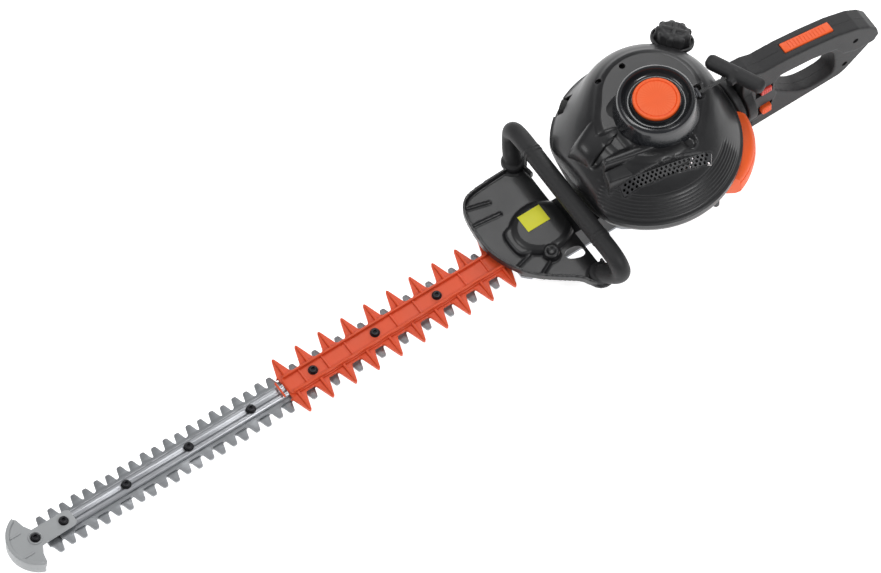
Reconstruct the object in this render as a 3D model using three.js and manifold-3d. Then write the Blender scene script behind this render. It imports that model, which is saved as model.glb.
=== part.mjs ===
// Petrol hedge trimmer with a double-sided reciprocating blade, a vertical-crank two-stroke engine, a loop front
// handle and a swivelling D-shaped rear handle. Millimetres. +X points along the blade to its tip, +Y to the
// machine's left, +Z up. The crank axis is the line x = 0, y = 0, and z = 0 is the flat base the machine rests on.
import * as THREE from 'three';
import { mergeVertices } from 'three/addons/utils/BufferGeometryUtils.js';
import Module from 'manifold-3d';

const wasm = await Module();
wasm.setup();

// ---- Driving dimensions -------------------------------------------------------------------------------------

const GAP = 0.3; // between pieces that touch
const RUN = 0.5; // between pieces that move past each other

// Blades
const SLIDE_Z = 30; // height of the plane where the two blades slide on each other
const BLADE_T = 2.7;
const SHANK_HALF = 13;
const TIP_HALF = 25;
const PITCH = 30;
const TEETH = 20;
const FIRST_TOOTH_X = 210; // upper blade; the lower blade's teeth stand half a pitch further on
const TOOTH_ROOT = 14;
const TOOTH_TIP = 6.4;
const BLADE_BACK_X = 92;
const STROKE = 15;

// Guide bar and its screws
const BAR_HALF = 8.75;
const BAR_T = 4;
const BAR_EDGE_T = 2.4;
const BAR_BACK_X = 150;
const SCREW_R = 3;
const SCREW_HEAD_R = 4.5;
const SCREW_HEAD_T = 2.6;
const NUT_R = 5.5;
const NUT_T = 4;
const SCREW_FIRST_X = 289;
const SCREW_STEP = 81.4;
const SCREWS = 7;
const TIP_SCREW_X = 814;

// Tip guard
const TIP_GUARD_HALF = 34;
const TIP_GUARD_DEPTH = 25;
const TIP_GUARD_NOSE_X = 846;
const TIP_NECK_HALF = 12;
const TIP_NECK_BACK_X = 765;
const TIP_NECK_T = 3;
const TIP_RIM = 5;

// Tooth guard
const GUARD_BACK_X = 202;
const GUARD_FRONT_X = 488;
const GUARD_TEETH = 10;
const GUARD_BODY_HALF = 14.5;
const GUARD_TIP_HALF = 37.5;
const GUARD_TOOTH_ROOT = 20;
const GUARD_PLATE_T = 4.5;
const GUARD_TOP = 3; // thickness over the guide bar
const GUARD_RIB_H = 4;

// Gears and eccentrics
const GEAR_MODULE = 1.25;
const GEAR_TEETH = 48;
const PINION_TEETH = 12;
const GEAR_Z = 39;
const GEAR_T = 7;
const CAM_R = 7;
const ROD_T = 4;
const ROD_WALL = 4.5;
const ROD_PIN_X = 100;
const ROD_PIN_R = 3;

// Gear case
const BASE_T = 4;
const CASE_WALL = 5;
const CASE_TOP_Z = 56;
const NOSE_HALF = 24;
const NOSE_FRONT_X = 188;
const NOSE_TOP_Z = 45.7;
const BELL_R = 40;
const BELL_WALL = 3.5;
const BELL_TOP_Z = 83.7;

// Clutch
const DRUM_R = 33;
const DRUM_WALL = 2.5;
const DRUM_Z = 58;
const DRUM_TOP_Z = 78;
const SHAFT_R = 6;
const SHOE_LIFT = 0.8;
const HUB_R = 9;

// Engine core
const CYLINDER_ANGLE = -53; // degrees from +X, seen from above
const CRANK_Z = 107; // height of the cylinder axis
const THROW = 14;
const CRANKPIN_R = 5;
const WEB_R = 23;
const WEB_T = 6;
const WEB_SPACE = 12; // between the two webs
const CONROD_L = 44;
const CONROD_T = 6;
const CASE_R = 35;
const CASE_BOTTOM_Z = 84;
const CASE_HEAD_Z = 133;
const BORE_R = 17;
const PISTON_CLEARANCE = 0.8;
const BEARING_R = 16;
const FIN_R = 27;
const FINS = 5;
const EXHAUST_Y = 44; // in the cylinder's frame
const EXHAUST_Z = 99;
const EXHAUST_R = 5;

// Flywheel and starter
const FLYWHEEL_R = 50;
const FLYWHEEL_Z = 135;
const FAN_BLADES = 10;
const PULLEY_R = 34;
const PULLEY_Z = 154;
const STARTER_R = 48;
const STARTER_RING_R = 43;
const STARTER_Z = 152;
const STARTER_TOP_Z = 188;
const DISC_R = 26.5;
const COVER_WALL = 2.5;
const ROPE_R = 1.8;
const ROPE_Y = 7; // where the rope leaves the starter housing
const GRIP_TILT = 26; // degrees that the pull grip lies off square to the machine, seen from above

// Engine covers
const BODY_X = 12; // centre of the round body
const BODY_SPLIT_Z = 92;
const BODY_R = 104;
const BODY_FRONT_X = 103; // flat face towards the loop handle
const BODY_BOTTOM_Z = 59;
const BODY_SIDES = 30;
const DOME_TOP_Z = 161;

// Intake side
const INTAKE_ANGLE = 143;
const FILTER_COVER_R = 78;
const FILTER_COVER_SHIFT = 32;
const CHOKE_ANGLE = 106;
const CHOKE_Z = 80;
const CHOKE_PIVOT_R = 80; // from the round body's centre
const CHOKE_ARM = 18;
const PRIMER_ANGLE = 205;
const PRIMER_Z = 71.3;
const PRIMER_R = 7.5;
const PRIMER_SEAT_R = 77; // from the round body's centre

// Fuel
const TANK_Z = 80;
const TANK_TOP_Z = 106;
const NECK_R = 13;
const NECK_DEPTH = 26;
const ELBOW_END = [-49, -53, 97];
const CAP_R = 20;
const CAP_LUGS = 9;
const CAP_AT = [-73, -74, 132];
const CAP_AXIS = [-0.395, -0.258, 0.883];

// Shield and loop handle
const SHIELD_Z = 46;
const SHIELD_T = 3;
const SHIELD_RIM = 7;
const LOOP_R = 11;
const LOOP_X = 118;
const LOOP_HALF = 104;
const LOOP_TOP_Z = 91;
const LOOP_FOOT_X = 130;
const LOOP_FOOT_HALF = 84;

// Rear handle
const HANDLE_FRONT_X = -106;
const HANDLE_REAR_X = -290;
const HANDLE_BOTTOM_Z = 16;
const GRIP_HALF = 14.5;
const WEB_HALF = 9;
const SWIVEL_Z = 78;
const SWIVEL_R = 28;
const SWIVEL_ARM_R = 14;
const TRIGGER_HALF = 4;
const INLAY_HALF = 6.5;
const INLAY_T = 4;
const INLAY_TRAVEL = 3;

// Working values that follow from the sizes above
const UPPER_BLADE_Z = SLIDE_Z + GAP / 2;
const LOWER_BLADE_Z = SLIDE_Z - GAP / 2 - BLADE_T;
const BAR_Z = UPPER_BLADE_Z + BLADE_T + GAP;
const BAR_TOP_Z = BAR_Z + BAR_T;
const LOWER_ROD_Z = LOWER_BLADE_Z - GAP - ROD_T;
const GEAR_X = (GEAR_MODULE * (GEAR_TEETH + PINION_TEETH)) / 2;
const GEAR_OUTER_R = (GEAR_MODULE * (GEAR_TEETH + 2)) / 2;
const CAM_THROW = STROKE / 2;
const EYE_X = CAM_R + STROKE + RUN;
const EYE_Y = CAM_R + CAM_THROW + RUN;

// ---- Shape helpers ------------------------------------------------------------------------------------------

const DEG = Math.PI / 180;

// A closed three.js geometry as a solid, with its faces turned outwards. A lathe's triangles that shrink to
// nothing on its axis are dropped.
function solid(geometry) {
  const g = geometry.clone();
  for (const key of ['normal', 'uv']) g.deleteAttribute(key);
  const merged = mergeVertices(g, 1e-4);
  const vertProperties = new Float32Array(merged.attributes.position.array);
  const kept = [];
  for (let i = 0; i < merged.index.count; i += 3) {
    const [a, b, c] = merged.index.array.slice(i, i + 3);
    if (a !== b && b !== c && c !== a) kept.push([a, b, c]);
  }
  const made = (faces) => new wasm.Manifold(
    new wasm.Mesh({ numProp: 3, vertProperties, triVerts: new Uint32Array(faces.flat()) }),
  );
  const first = made(kept);
  return first.volume() >= 0 ? first : made(kept.map(([a, b, c]) => [a, c, b]));
}

function join(...parts) {
  return parts.reduce((a, b) => a.add(b));
}

function cut(body, ...tools) {
  return tools.reduce((a, b) => a.subtract(b), body);
}

function place(geometry, x, y, z) {
  return solid(geometry.translate(x, y, z));
}

// A box between two corners.
function box(x0, x1, y0, y1, z0, z1) {
  return place(new THREE.BoxGeometry(x1 - x0, y1 - y0, z1 - z0), (x0 + x1) / 2, (y0 + y1) / 2, (z0 + z1) / 2);
}

// An upright cylinder.
function rod(x, y, z0, z1, r, sides = 24) {
  return place(new THREE.CylinderGeometry(r, r, z1 - z0, sides).rotateX(Math.PI / 2), x, y, (z0 + z1) / 2);
}

// A cylinder along X, and one along Y.
function rodX(x0, x1, y, z, r, sides = 20) {
  return place(new THREE.CylinderGeometry(r, r, x1 - x0, sides).rotateZ(Math.PI / 2), (x0 + x1) / 2, y, z);
}

function rodY(x, y0, y1, z, r, sides = 16) {
  return place(new THREE.CylinderGeometry(r, r, y1 - y0, sides), x, (y0 + y1) / 2, z);
}

// A profile of [radius, height] points turned about the Z axis.
function turned(profile, x = 0, y = 0, sides = 48) {
  const points = profile.map(([r, h]) => new THREE.Vector2(r, h));
  return place(new THREE.LatheGeometry(points, sides).rotateX(Math.PI / 2), x, y, 0);
}

function shapeOf(points) {
  return new THREE.Shape(points.map(([a, b]) => new THREE.Vector2(a, b)));
}

// An outline in plan, raised from z0 to z1.
function prism(points, z0, z1) {
  const settings = { depth: z1 - z0, bevelEnabled: false };
  return place(new THREE.ExtrudeGeometry(shapeOf(points), settings), 0, 0, z0);
}

// A side outline of [x, z] points, spread from y0 to y1.
function sidePrism(points, y0, y1) {
  const settings = { depth: y1 - y0, bevelEnabled: false };
  return place(new THREE.ExtrudeGeometry(shapeOf(points), settings).rotateX(Math.PI / 2), 0, y1, 0);
}

// A cross-section of [y, z] points, run from x0 to x1.
function barPrism(points, x0, x1) {
  const geometry = new THREE.ExtrudeGeometry(shapeOf(points), { depth: x1 - x0, bevelEnabled: false });
  const toX = new THREE.Matrix4().makeBasis(
    new THREE.Vector3(0, 1, 0),
    new THREE.Vector3(0, 0, 1),
    new THREE.Vector3(1, 0, 0),
  );
  return place(geometry.applyMatrix4(toX), x0, 0, 0);
}

function circle(x, y, r, sides = 12) {
  const point = (i) => [x + r * Math.cos((i * 2 * Math.PI) / sides), y + r * Math.sin((i * 2 * Math.PI) / sides)];
  return Array.from({ length: sides }, (unused, i) => point(i));
}

// A slot along X with round ends; halfLength counts to the end of the round.
function slot(x, y, halfLength, halfWidth, steps = 5) {
  const points = [];
  for (const [side, start] of [[1, -90], [-1, 90]]) {
    for (let i = 0; i <= steps; i += 1) {
      const a = (start + (180 * i) / steps) * DEG;
      points.push([x + side * (halfLength - halfWidth) + halfWidth * Math.cos(a), y + halfWidth * Math.sin(a)]);
    }
  }
  return points;
}

// An arc of points about a centre, from one angle to another in degrees.
function arc(x, y, r, from, to, steps) {
  const point = (i) => {
    const a = (from + ((to - from) * i) / steps) * DEG;
    return [x + r * Math.cos(a), y + r * Math.sin(a)];
  };
  return Array.from({ length: steps + 1 }, (unused, i) => point(i));
}

// A round tube through a list of points.
function tube(points, r, steps, sides = 12) {
  const path = new THREE.CatmullRomCurve3(points.map((p) => new THREE.Vector3(...p)));
  const geometry = new THREE.ExtrudeGeometry(shapeOf(circle(0, 0, r, sides)), { steps, extrudePath: path });
  return solid(geometry);
}

function mirrored(points) {
  return [...points, ...points.map(([x, y]) => [x, -y]).reverse()];
}

// ---- Materials ----------------------------------------------------------------------------------------------

function finish(color, roughness, metalness) {
  return () => new THREE.MeshStandardMaterial({ color, roughness, metalness });
}

const steel = finish(0xb9bcc0, 0.35, 0.9);
const darkSteel = finish(0x4c4f54, 0.5, 0.8);
const aluminium = finish(0x9b9ea2, 0.5, 0.7);
const blackPlastic = finish(0x17181a, 0.42, 0);
const glossPlastic = finish(0x1d1e21, 0.25, 0);
const orangePlastic = finish(0xf2561d, 0.4, 0);
const redPlastic = finish(0xc22a22, 0.4, 0);
const greyPlastic = finish(0x8b8d90, 0.45, 0.1);
const yellowPlate = finish(0xdfe01e, 0.5, 0);
const rubber = finish(0x202022, 0.8, 0);
const paper = finish(0xc9c1a6, 0.9, 0);

const trimmer = new THREE.Group();

// Puts a solid into the model as a named mesh, in the trimmer itself or in a placed group.
function add(name, body, material, parent = trimmer) {
  const found = body.getMesh();
  const geometry = new THREE.BufferGeometry();
  geometry.setAttribute('position', new THREE.BufferAttribute(found.vertProperties, 3));
  geometry.setIndex(new THREE.BufferAttribute(found.triVerts, 1));
  geometry.computeVertexNormals();
  const mesh = new THREE.Mesh(geometry, material());
  mesh.name = name;
  parent.add(mesh);
}

// A group placed at a point and turned about Z.
function station(x, y, z, degrees) {
  const group = new THREE.Group();
  group.position.set(x, y, z);
  group.rotation.z = degrees * DEG;
  trimmer.add(group);
  return group;
}

// ---- Cutting unit -------------------------------------------------------------------------------------------

const screwXs = Array.from({ length: SCREWS }, (unused, i) => SCREW_FIRST_X + i * SCREW_STEP);
const lastGuardTooth = FIRST_TOOTH_X + (GUARD_TEETH - 1) * PITCH;

function blade(firstTooth, z) {
  const side = [[BLADE_BACK_X, SHANK_HALF]];
  for (let i = 0; i < TEETH; i += 1) {
    const x = firstTooth + i * PITCH;
    side.push([x - TOOTH_ROOT / 2, SHANK_HALF], [x - TOOTH_TIP / 2, TIP_HALF]);
    side.push([x + TOOTH_TIP / 2, TIP_HALF], [x + TOOTH_ROOT / 2, SHANK_HALF]);
  }
  const slotPlan = (x) => slot(x, 0, CAM_THROW + SCREW_R + RUN, SCREW_R + RUN, 3);
  const slots = screwXs.map((x) => prism(slotPlan(x), z - 1, z + BLADE_T + 1));
  const pinHole = rod(ROD_PIN_X, 0, z - 1, z + BLADE_T + 1, ROD_PIN_R + GAP, 12);
  return cut(prism(mirrored(side), z, z + BLADE_T), ...slots, pinHole);
}

// A connecting rod: a wide eye round the eccentric, a neck, and the pin that drives the blade.
function driveRod(z, pinZ0, pinZ1) {
  const eye = mirroredEye(EYE_X + ROD_WALL, EYE_Y + ROD_WALL);
  const neck = box(GEAR_X + EYE_X, ROD_PIN_X + 6, -7, 7, z, z + ROD_T);
  const hole = prism(mirroredEye(EYE_X, EYE_Y), z - 1, z + ROD_T + 1);
  const pin = rod(ROD_PIN_X, 0, pinZ0, pinZ1, ROD_PIN_R, 12);
  return join(cut(join(prism(eye, z, z + ROD_T), neck), hole), pin);
}

// An eye outline about the drive gear's axis: an oval with the given half sizes.
function mirroredEye(halfX, halfY) {
  return slot(GEAR_X, 0, halfX, halfY, 8);
}

function guideBar() {
  const section = [
    [-BAR_HALF, BAR_Z], [BAR_HALF, BAR_Z], [BAR_HALF, BAR_Z + BAR_EDGE_T], [BAR_HALF - 2.4, BAR_TOP_Z],
    [2.6, BAR_TOP_Z], [1.6, BAR_TOP_Z - 0.8], [-1.6, BAR_TOP_Z - 0.8], [-2.6, BAR_TOP_Z],
    [-BAR_HALF + 2.4, BAR_TOP_Z], [-BAR_HALF, BAR_Z + BAR_EDGE_T],
  ];
  const nutTop = LOWER_BLADE_Z - GAP;
  let bar = barPrism(section, BAR_BACK_X, TIP_GUARD_NOSE_X - TIP_GUARD_DEPTH - RUN);
  for (const x of [...screwXs, TIP_SCREW_X]) {
    const seat = headSeat(x);
    bar = join(
      bar,
      rod(x, 0, nutTop - NUT_T, seat, SCREW_R, 6),
      rod(x, 0, seat, seat + SCREW_HEAD_T, SCREW_HEAD_R, 8),
      rod(x, 0, nutTop - NUT_T, nutTop, NUT_R, 6),
    );
  }
  return bar;
}

// The height of a screw head's underside: over the tooth guard, over the tip guard's neck, or on the bar.
function headSeat(x) {
  if (x < lastGuardTooth + PITCH / 2) return BAR_TOP_Z + GAP + GUARD_TOP + GAP;
  if (x > TIP_NECK_BACK_X) return BAR_TOP_Z + GAP + TIP_NECK_T + GAP;
  return BAR_TOP_Z;
}

function toothGuard() {
  const z0 = UPPER_BLADE_Z + BLADE_T + RUN;
  const side = [[GUARD_BACK_X, GUARD_BODY_HALF]];
  for (let i = 0; i < GUARD_TEETH; i += 1) {
    const x = FIRST_TOOTH_X + i * PITCH;
    const root = GUARD_TOOTH_ROOT / 2;
    side.push([Math.max(x - root, GUARD_BACK_X + 1), GUARD_BODY_HALF], [x - 3.4, GUARD_TIP_HALF - 12]);
    side.push([x - 0.5, GUARD_TIP_HALF], [x + 1.5, GUARD_TIP_HALF - 0.5]);
    side.push([x + 5.4, GUARD_TIP_HALF - 12], [Math.min(x + root, GUARD_FRONT_X - 1), GUARD_BODY_HALF]);
  }
  side.push([GUARD_FRONT_X, GUARD_BODY_HALF]);
  const coverZ = BAR_TOP_Z + GAP + GUARD_TOP;
  const plate = prism(mirrored(side), z0, z0 + GUARD_PLATE_T);
  const back = box(GUARD_BACK_X, GUARD_FRONT_X, -GUARD_BODY_HALF, GUARD_BODY_HALF, z0, coverZ);
  const ribs = [-1, 1].map((s) => box(GUARD_BACK_X, GUARD_FRONT_X, s * 10 - 1.4, s * 10 + 1.4, coverZ - 1,
    coverZ + GUARD_RIB_H));
  const channel = box(GUARD_BACK_X - 1, GUARD_FRONT_X + 1, -BAR_HALF - GAP, BAR_HALF + GAP, z0 - 1, BAR_TOP_Z + GAP);
  const holes = screwXs.filter((x) => x < GUARD_FRONT_X).map((x) => rod(x, 0, z0, coverZ + 1, SCREW_R + GAP, 8));
  return cut(join(plate, back, ...ribs), channel, ...holes);
}

function tipGuard() {
  const rearX = TIP_GUARD_NOSE_X - TIP_GUARD_DEPTH;
  const r = (TIP_GUARD_HALF ** 2 + TIP_GUARD_DEPTH ** 2) / (2 * TIP_GUARD_DEPTH);
  const centreX = TIP_GUARD_NOSE_X - r;
  const sweep = Math.asin(TIP_GUARD_HALF / r) / DEG;
  const neckZ = BAR_TOP_Z + GAP;
  const moonOuter = arc(centreX, 0, r, -sweep, sweep, 14);
  const moonInner = arc(centreX, 0, r - TIP_RIM, sweep - 3, -sweep + 3, 12);
  const plate = prism(moonOuter, BAR_Z, neckZ + TIP_NECK_T);
  const rim = prism([...moonOuter, ...moonInner], LOWER_BLADE_Z - 3, neckZ + TIP_NECK_T + 2.5);
  const neckEnd = arc(TIP_NECK_BACK_X + TIP_NECK_HALF, 0, TIP_NECK_HALF, 90, 270, 10);
  const neck = prism([...neckEnd, [rearX + 1, -TIP_NECK_HALF], [rearX + 1, TIP_NECK_HALF]], neckZ,
    neckZ + TIP_NECK_T);
  const holes = [screwXs[SCREWS - 1], TIP_SCREW_X].map((x) => rod(x, 0, neckZ - 1, neckZ + 9, SCREW_R + GAP, 12));
  return cut(join(plate, rim, neck), ...holes);
}

function buildCuttingUnit() {
  add('upper_blade', blade(FIRST_TOOTH_X, UPPER_BLADE_Z), steel);
  add('lower_blade', blade(FIRST_TOOTH_X + PITCH / 2, LOWER_BLADE_Z), steel);
  add('upper_rod', driveRod(BAR_Z, UPPER_BLADE_Z + GAP, BAR_Z + ROD_T), darkSteel);
  add('lower_rod', driveRod(LOWER_ROD_Z, LOWER_ROD_Z, LOWER_BLADE_Z + BLADE_T - GAP), darkSteel);
  add('guide_bar', guideBar(), steel);
  add('tooth_guard', toothGuard(), orangePlastic);
  add('tip_guard', tipGuard(), greyPlastic);
}

// ---- Gear case and clutch -----------------------------------------------------------------------------------

// A spur gear's outline about the origin; the first tooth points along +X when phase is 0.
function gearOutline(teeth, phase) {
  const pitchR = (GEAR_MODULE * teeth) / 2;
  const tipR = pitchR + GEAR_MODULE * 0.9;
  const rootR = pitchR - GEAR_MODULE * 1.25;
  const points = [];
  for (let i = 0; i < teeth; i += 1) {
    for (const [share, r] of [[-0.36, rootR], [-0.1, tipR], [0.1, tipR], [0.36, rootR]]) {
      const a = ((i + share) * 2 * Math.PI) / teeth + phase;
      points.push([r * Math.cos(a), r * Math.sin(a)]);
    }
  }
  return points;
}

// The drive gear with its two eccentrics, in the gear's own frame, axis on Z.
function driveGear() {
  const halfTooth = Math.PI / GEAR_TEETH;
  const wheel = prism(gearOutline(GEAR_TEETH, halfTooth), GEAR_Z, GEAR_Z + GEAR_T);
  const upperCam = rod(0, CAM_THROW, UPPER_BLADE_Z + BLADE_T - 0.5, GEAR_Z + 1, CAM_R, 24);
  const lowerCam = rod(0, -CAM_THROW, LOWER_ROD_Z - 1, LOWER_BLADE_Z, CAM_R, 24);
  const waist = rod(0, 0, LOWER_BLADE_Z - 0.1, UPPER_BLADE_Z + BLADE_T, CAM_R + CAM_THROW, 24);
  const journal = rod(0, 0, 8, LOWER_ROD_Z, 5, 16);
  const shaft = rod(0, 0, GEAR_Z + GEAR_T - 1, 53, 5, 16);
  return join(wheel, upperCam, lowerCam, waist, journal, shaft);
}

function clutchDrum() {
  const cup = turned([
    [0, DRUM_Z], [DRUM_R, DRUM_Z], [DRUM_R, DRUM_TOP_Z], [DRUM_R - DRUM_WALL, DRUM_TOP_Z],
    [DRUM_R - DRUM_WALL, DRUM_Z + DRUM_WALL], [0, DRUM_Z + DRUM_WALL],
  ], 0, 0, 24);
  const shaft = rod(0, 0, GEAR_Z + GEAR_T, DRUM_Z + 1, SHAFT_R, 16);
  const pinion = prism(gearOutline(PINION_TEETH, 0), GEAR_Z, GEAR_Z + GEAR_T + 0.1);
  return join(cup, shaft, pinion);
}

function ring(outer, inner, z0, z1, sides = 20) {
  return turned([[inner, z0], [outer, z0], [outer, z1], [inner, z1], [inner, z0]], 0, 0, sides);
}

function nosePlan(half, backX, frontX) {
  return [[backX, -half], [frontX - 8, -half], [frontX, -half + 8], [frontX, half - 8], [frontX - 8, half],
    [backX, half]];
}

function gearCase() {
  const gearRoom = GEAR_OUTER_R + 2;
  const z0 = BASE_T + GAP;
  const outer = join(
    rod(GEAR_X, 0, z0, CASE_TOP_Z, gearRoom + CASE_WALL, 26),
    rod(0, 0, z0, CASE_TOP_Z, 30, 22),
    prism(nosePlan(NOSE_HALF, GEAR_X, NOSE_FRONT_X), z0, NOSE_TOP_Z),
    rod(0, 0, CASE_TOP_Z - 6, BELL_TOP_Z, BELL_R, 26),
  );
  return cut(
    outer,
    rod(GEAR_X, 0, z0 - 1, GEAR_Z + GEAR_T + 1, gearRoom, 28),
    rod(0, 0, GEAR_Z - 1, GEAR_Z + GEAR_T + 1, 10.5, 20),
    box(GEAR_X - EYE_X - ROD_WALL - CAM_THROW - 2, GEAR_X, -EYE_Y - ROD_WALL - 1.5, EYE_Y + ROD_WALL + 1.5,
      z0 - 1, GEAR_Z),
    box(GEAR_X, NOSE_FRONT_X + 1, -SHANK_HALF - 1, SHANK_HALF + 1, LOWER_ROD_Z - 1, BAR_TOP_Z + GAP),
    rod(0, 0, CASE_TOP_Z, BELL_TOP_Z + 1, BELL_R - BELL_WALL, 26),
    rod(0, 0, GEAR_Z + GEAR_T, CASE_TOP_Z + 1, BEARING_R - 2.7, 24),
    rod(GEAR_X, 0, GEAR_Z + GEAR_T, 53.5, 11.3, 24),
  );
}

function gearCaseBase() {
  const outerR = GEAR_OUTER_R + 2 + CASE_WALL;
  const plate = join(
    rod(GEAR_X, 0, 0, BASE_T, outerR, 26),
    rod(0, 0, 0, BASE_T, 30, 22),
    prism(nosePlan(NOSE_HALF, GEAR_X, NOSE_FRONT_X), 0, BASE_T),
  );
  const boss = rod(GEAR_X, 0, BASE_T - 1, 16, 10, 20);
  return cut(join(plate, boss), rod(GEAR_X, 0, 7, 17, 5 + GAP, 16));
}

// Half of the clutch's friction ring, on the +Y side for side 1 and the -Y side for side -1.
function clutchShoe(side) {
  const inside = DRUM_R - DRUM_WALL - SHOE_LIFT - 0.2;
  const whole = ring(inside, HUB_R + 2, DRUM_Z + DRUM_WALL + 1.5, DRUM_TOP_Z - 2, 32);
  const far = DRUM_R + 1;
  const other = side > 0 ? box(-far, far, -far, 4, 0, 99) : box(-far, far, -4, far, 0, 99);
  return cut(whole, other);
}

function buildDrive() {
  add('gear_case', gearCase(), aluminium);
  add('gear_case_base', gearCaseBase(), aluminium);
  add('drive_gear', driveGear(), darkSteel, station(GEAR_X, 0, 0, 0));
  add('gear_bearing', ring(11, 5 + GAP, GEAR_Z + GEAR_T + 1.3, 53.2, 24), steel, station(GEAR_X, 0, 0, 0));
  add('clutch_drum', clutchDrum(), darkSteel);
  add('drum_bearing', ring(BEARING_R - 3, SHAFT_R + GAP, GEAR_Z + GEAR_T + 1.3, CASE_TOP_Z - 1, 24), steel);
  add('clutch_shoe_left', clutchShoe(1), darkSteel);
  add('clutch_shoe_right', clutchShoe(-1), darkSteel);
}

// ---- Engine core --------------------------------------------------------------------------------------------

const webLow = CRANK_Z - WEB_SPACE / 2 - WEB_T;
const webHigh = CRANK_Z + WEB_SPACE / 2;
const pistonPinX = THROW + CONROD_L;
const pistonTop = pistonPinX + 16;
const chamberTop = pistonTop + 3;
const headTop = chamberTop + 13;

// The crankshaft's lower half, in the cylinder's frame: the crank pin stands towards the cylinder at rest.
function crankLower() {
  return join(
    rod(0, 0, DRUM_Z + DRUM_WALL + 1.5, webLow + 1, SHAFT_R, 20),
    rod(0, 0, DRUM_Z + DRUM_WALL + 1.5, DRUM_TOP_Z - 2, HUB_R, 20),
    rod(0, 0, webLow, webLow + WEB_T, WEB_R, 24),
    rod(THROW, 0, webLow + WEB_T - 1, CRANK_Z - CONROD_T / 2 - RUN, CRANKPIN_R, 16),
  );
}

function crankUpper() {
  return join(
    rod(0, 0, webHigh, webHigh + WEB_T, WEB_R, 24),
    rod(THROW, 0, CRANK_Z + CONROD_T / 2 + RUN, webHigh + 1, CRANKPIN_R, 16),
    rod(0, 0, webHigh, PULLEY_Z - 3, SHAFT_R, 20),
  );
}

function connectingRod() {
  const z0 = CRANK_Z - CONROD_T / 2;
  const z1 = CRANK_Z + CONROD_T / 2;
  const body = join(
    rod(THROW, 0, z0, z1, 9, 20),
    rod(pistonPinX, 0, z0, z1, 6.5, 16),
    box(THROW + 4, pistonPinX - 3, -3.5, 3.5, z0, z1),
  );
  return cut(body, rod(THROW, 0, z0 - 1, z1 + 1, CRANKPIN_R + GAP, 16),
    rod(pistonPinX, 0, z0 - 1, z1 + 1, 4 + GAP, 12));
}

function piston() {
  const bottom = pistonPinX - 6;
  const r = BORE_R - PISTON_CLEARANCE;
  const body = rodX(bottom, pistonTop, 0, CRANK_Z, r, 28);
  const hollow = rodX(bottom - 1, pistonTop - 5, 0, CRANK_Z, r - 4, 20);
  const pinBore = rod(pistonPinX, 0, CRANK_Z - BORE_R, CRANK_Z + BORE_R, 4 + GAP, 12);
  return cut(body, hollow, pinBore);
}

// The finned cylinder with its head, turned about the cylinder axis.
function cylinder() {
  const base = CASE_R + GAP + 1;
  const firstFin = base + 9;
  const pitch = (headTop - firstFin) / FINS;
  const barrel = BORE_R + 4.5;
  const outline = [[BORE_R + 0.05, base], [barrel + 1.5, base], [barrel + 1.5, base + 4], [barrel, base + 4]];
  for (let i = 0; i < FINS; i += 1) {
    const h = firstFin + i * pitch;
    outline.push([barrel, h], [FIN_R, h], [FIN_R, h + 2], [barrel, h + 2]);
  }
  outline.push([barrel, headTop], [5.3, headTop], [5.3, chamberTop], [BORE_R + 0.05, chamberTop]);
  outline.push([BORE_R + 0.05, base]);
  const points = outline.map(([r, h]) => new THREE.Vector2(r, h));
  const lathe = new THREE.LatheGeometry(points, 14).rotateZ(-Math.PI / 2);
  const port = rodY(pistonPinX + 8, BORE_R + 1, FIN_R + 4, CRANK_Z, 9);
  return cut(join(place(lathe, 0, 0, CRANK_Z), port), rodY(pistonPinX + 8, 0, FIN_R + 5, CRANK_Z, 6));
}

function crankcase() {
  const outer = join(
    rod(0, 0, CASE_BOTTOM_Z, CASE_HEAD_Z, CASE_R, 28),
    box(0, CASE_R + 1, -24, 24, CASE_BOTTOM_Z, CASE_HEAD_Z - 2),
    box(-CASE_R - 1, 0, -14, 14, CASE_BOTTOM_Z + 8, CASE_HEAD_Z - 10),
  );
  return cut(
    outer,
    rod(0, 0, CASE_BOTTOM_Z - 1, CASE_HEAD_Z + 1, BEARING_R + GAP, 24),
    rod(0, 0, webLow - 1, webHigh + WEB_T + 1, WEB_R + 3, 24),
    rodX(0, CASE_R + 2, 0, CRANK_Z, BORE_R + 1, 24),
  );
}

function sparkPlug() {
  const profile = [[0, chamberTop + 1], [5, chamberTop + 1], [5, headTop + 0.3], [8.2, headTop + 0.3],
    [8.2, headTop + 6], [4.4, headTop + 6.5], [4.2, headTop + 13], [2.2, headTop + 13.5], [2.2, headTop + 16],
    [0, headTop + 16]];
  const points = profile.map(([r, h]) => new THREE.Vector2(r, h));
  return place(new THREE.LatheGeometry(points, 16).rotateZ(-Math.PI / 2), 0, 0, CRANK_Z);
}

function plugBoot() {
  const start = headTop + 8;
  return cut(rodX(start, start + 11, 0, CRANK_Z, 8.5, 16), rodX(start - 1, start + 9, 0, CRANK_Z, 5, 16));
}

function muffler() {
  const y0 = FIN_R + 4.4;
  const can = box(44, 84, y0, y0 + 24, CRANK_Z - 18, CRANK_Z + 15);
  const pipe = rodX(83, 100, EXHAUST_Y, EXHAUST_Z, EXHAUST_R);
  const inlet = rodY(pistonPinX + 8, y0 - 1, y0 + 20, CRANK_Z, 6);
  const outlet = rodX(70, 101, EXHAUST_Y, EXHAUST_Z, EXHAUST_R - 1.6);
  const inside = box(46, 82, y0 + 2, y0 + 22, CRANK_Z - 16, CRANK_Z + 13);
  return cut(join(can, pipe), inlet, outlet, inside);
}

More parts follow.
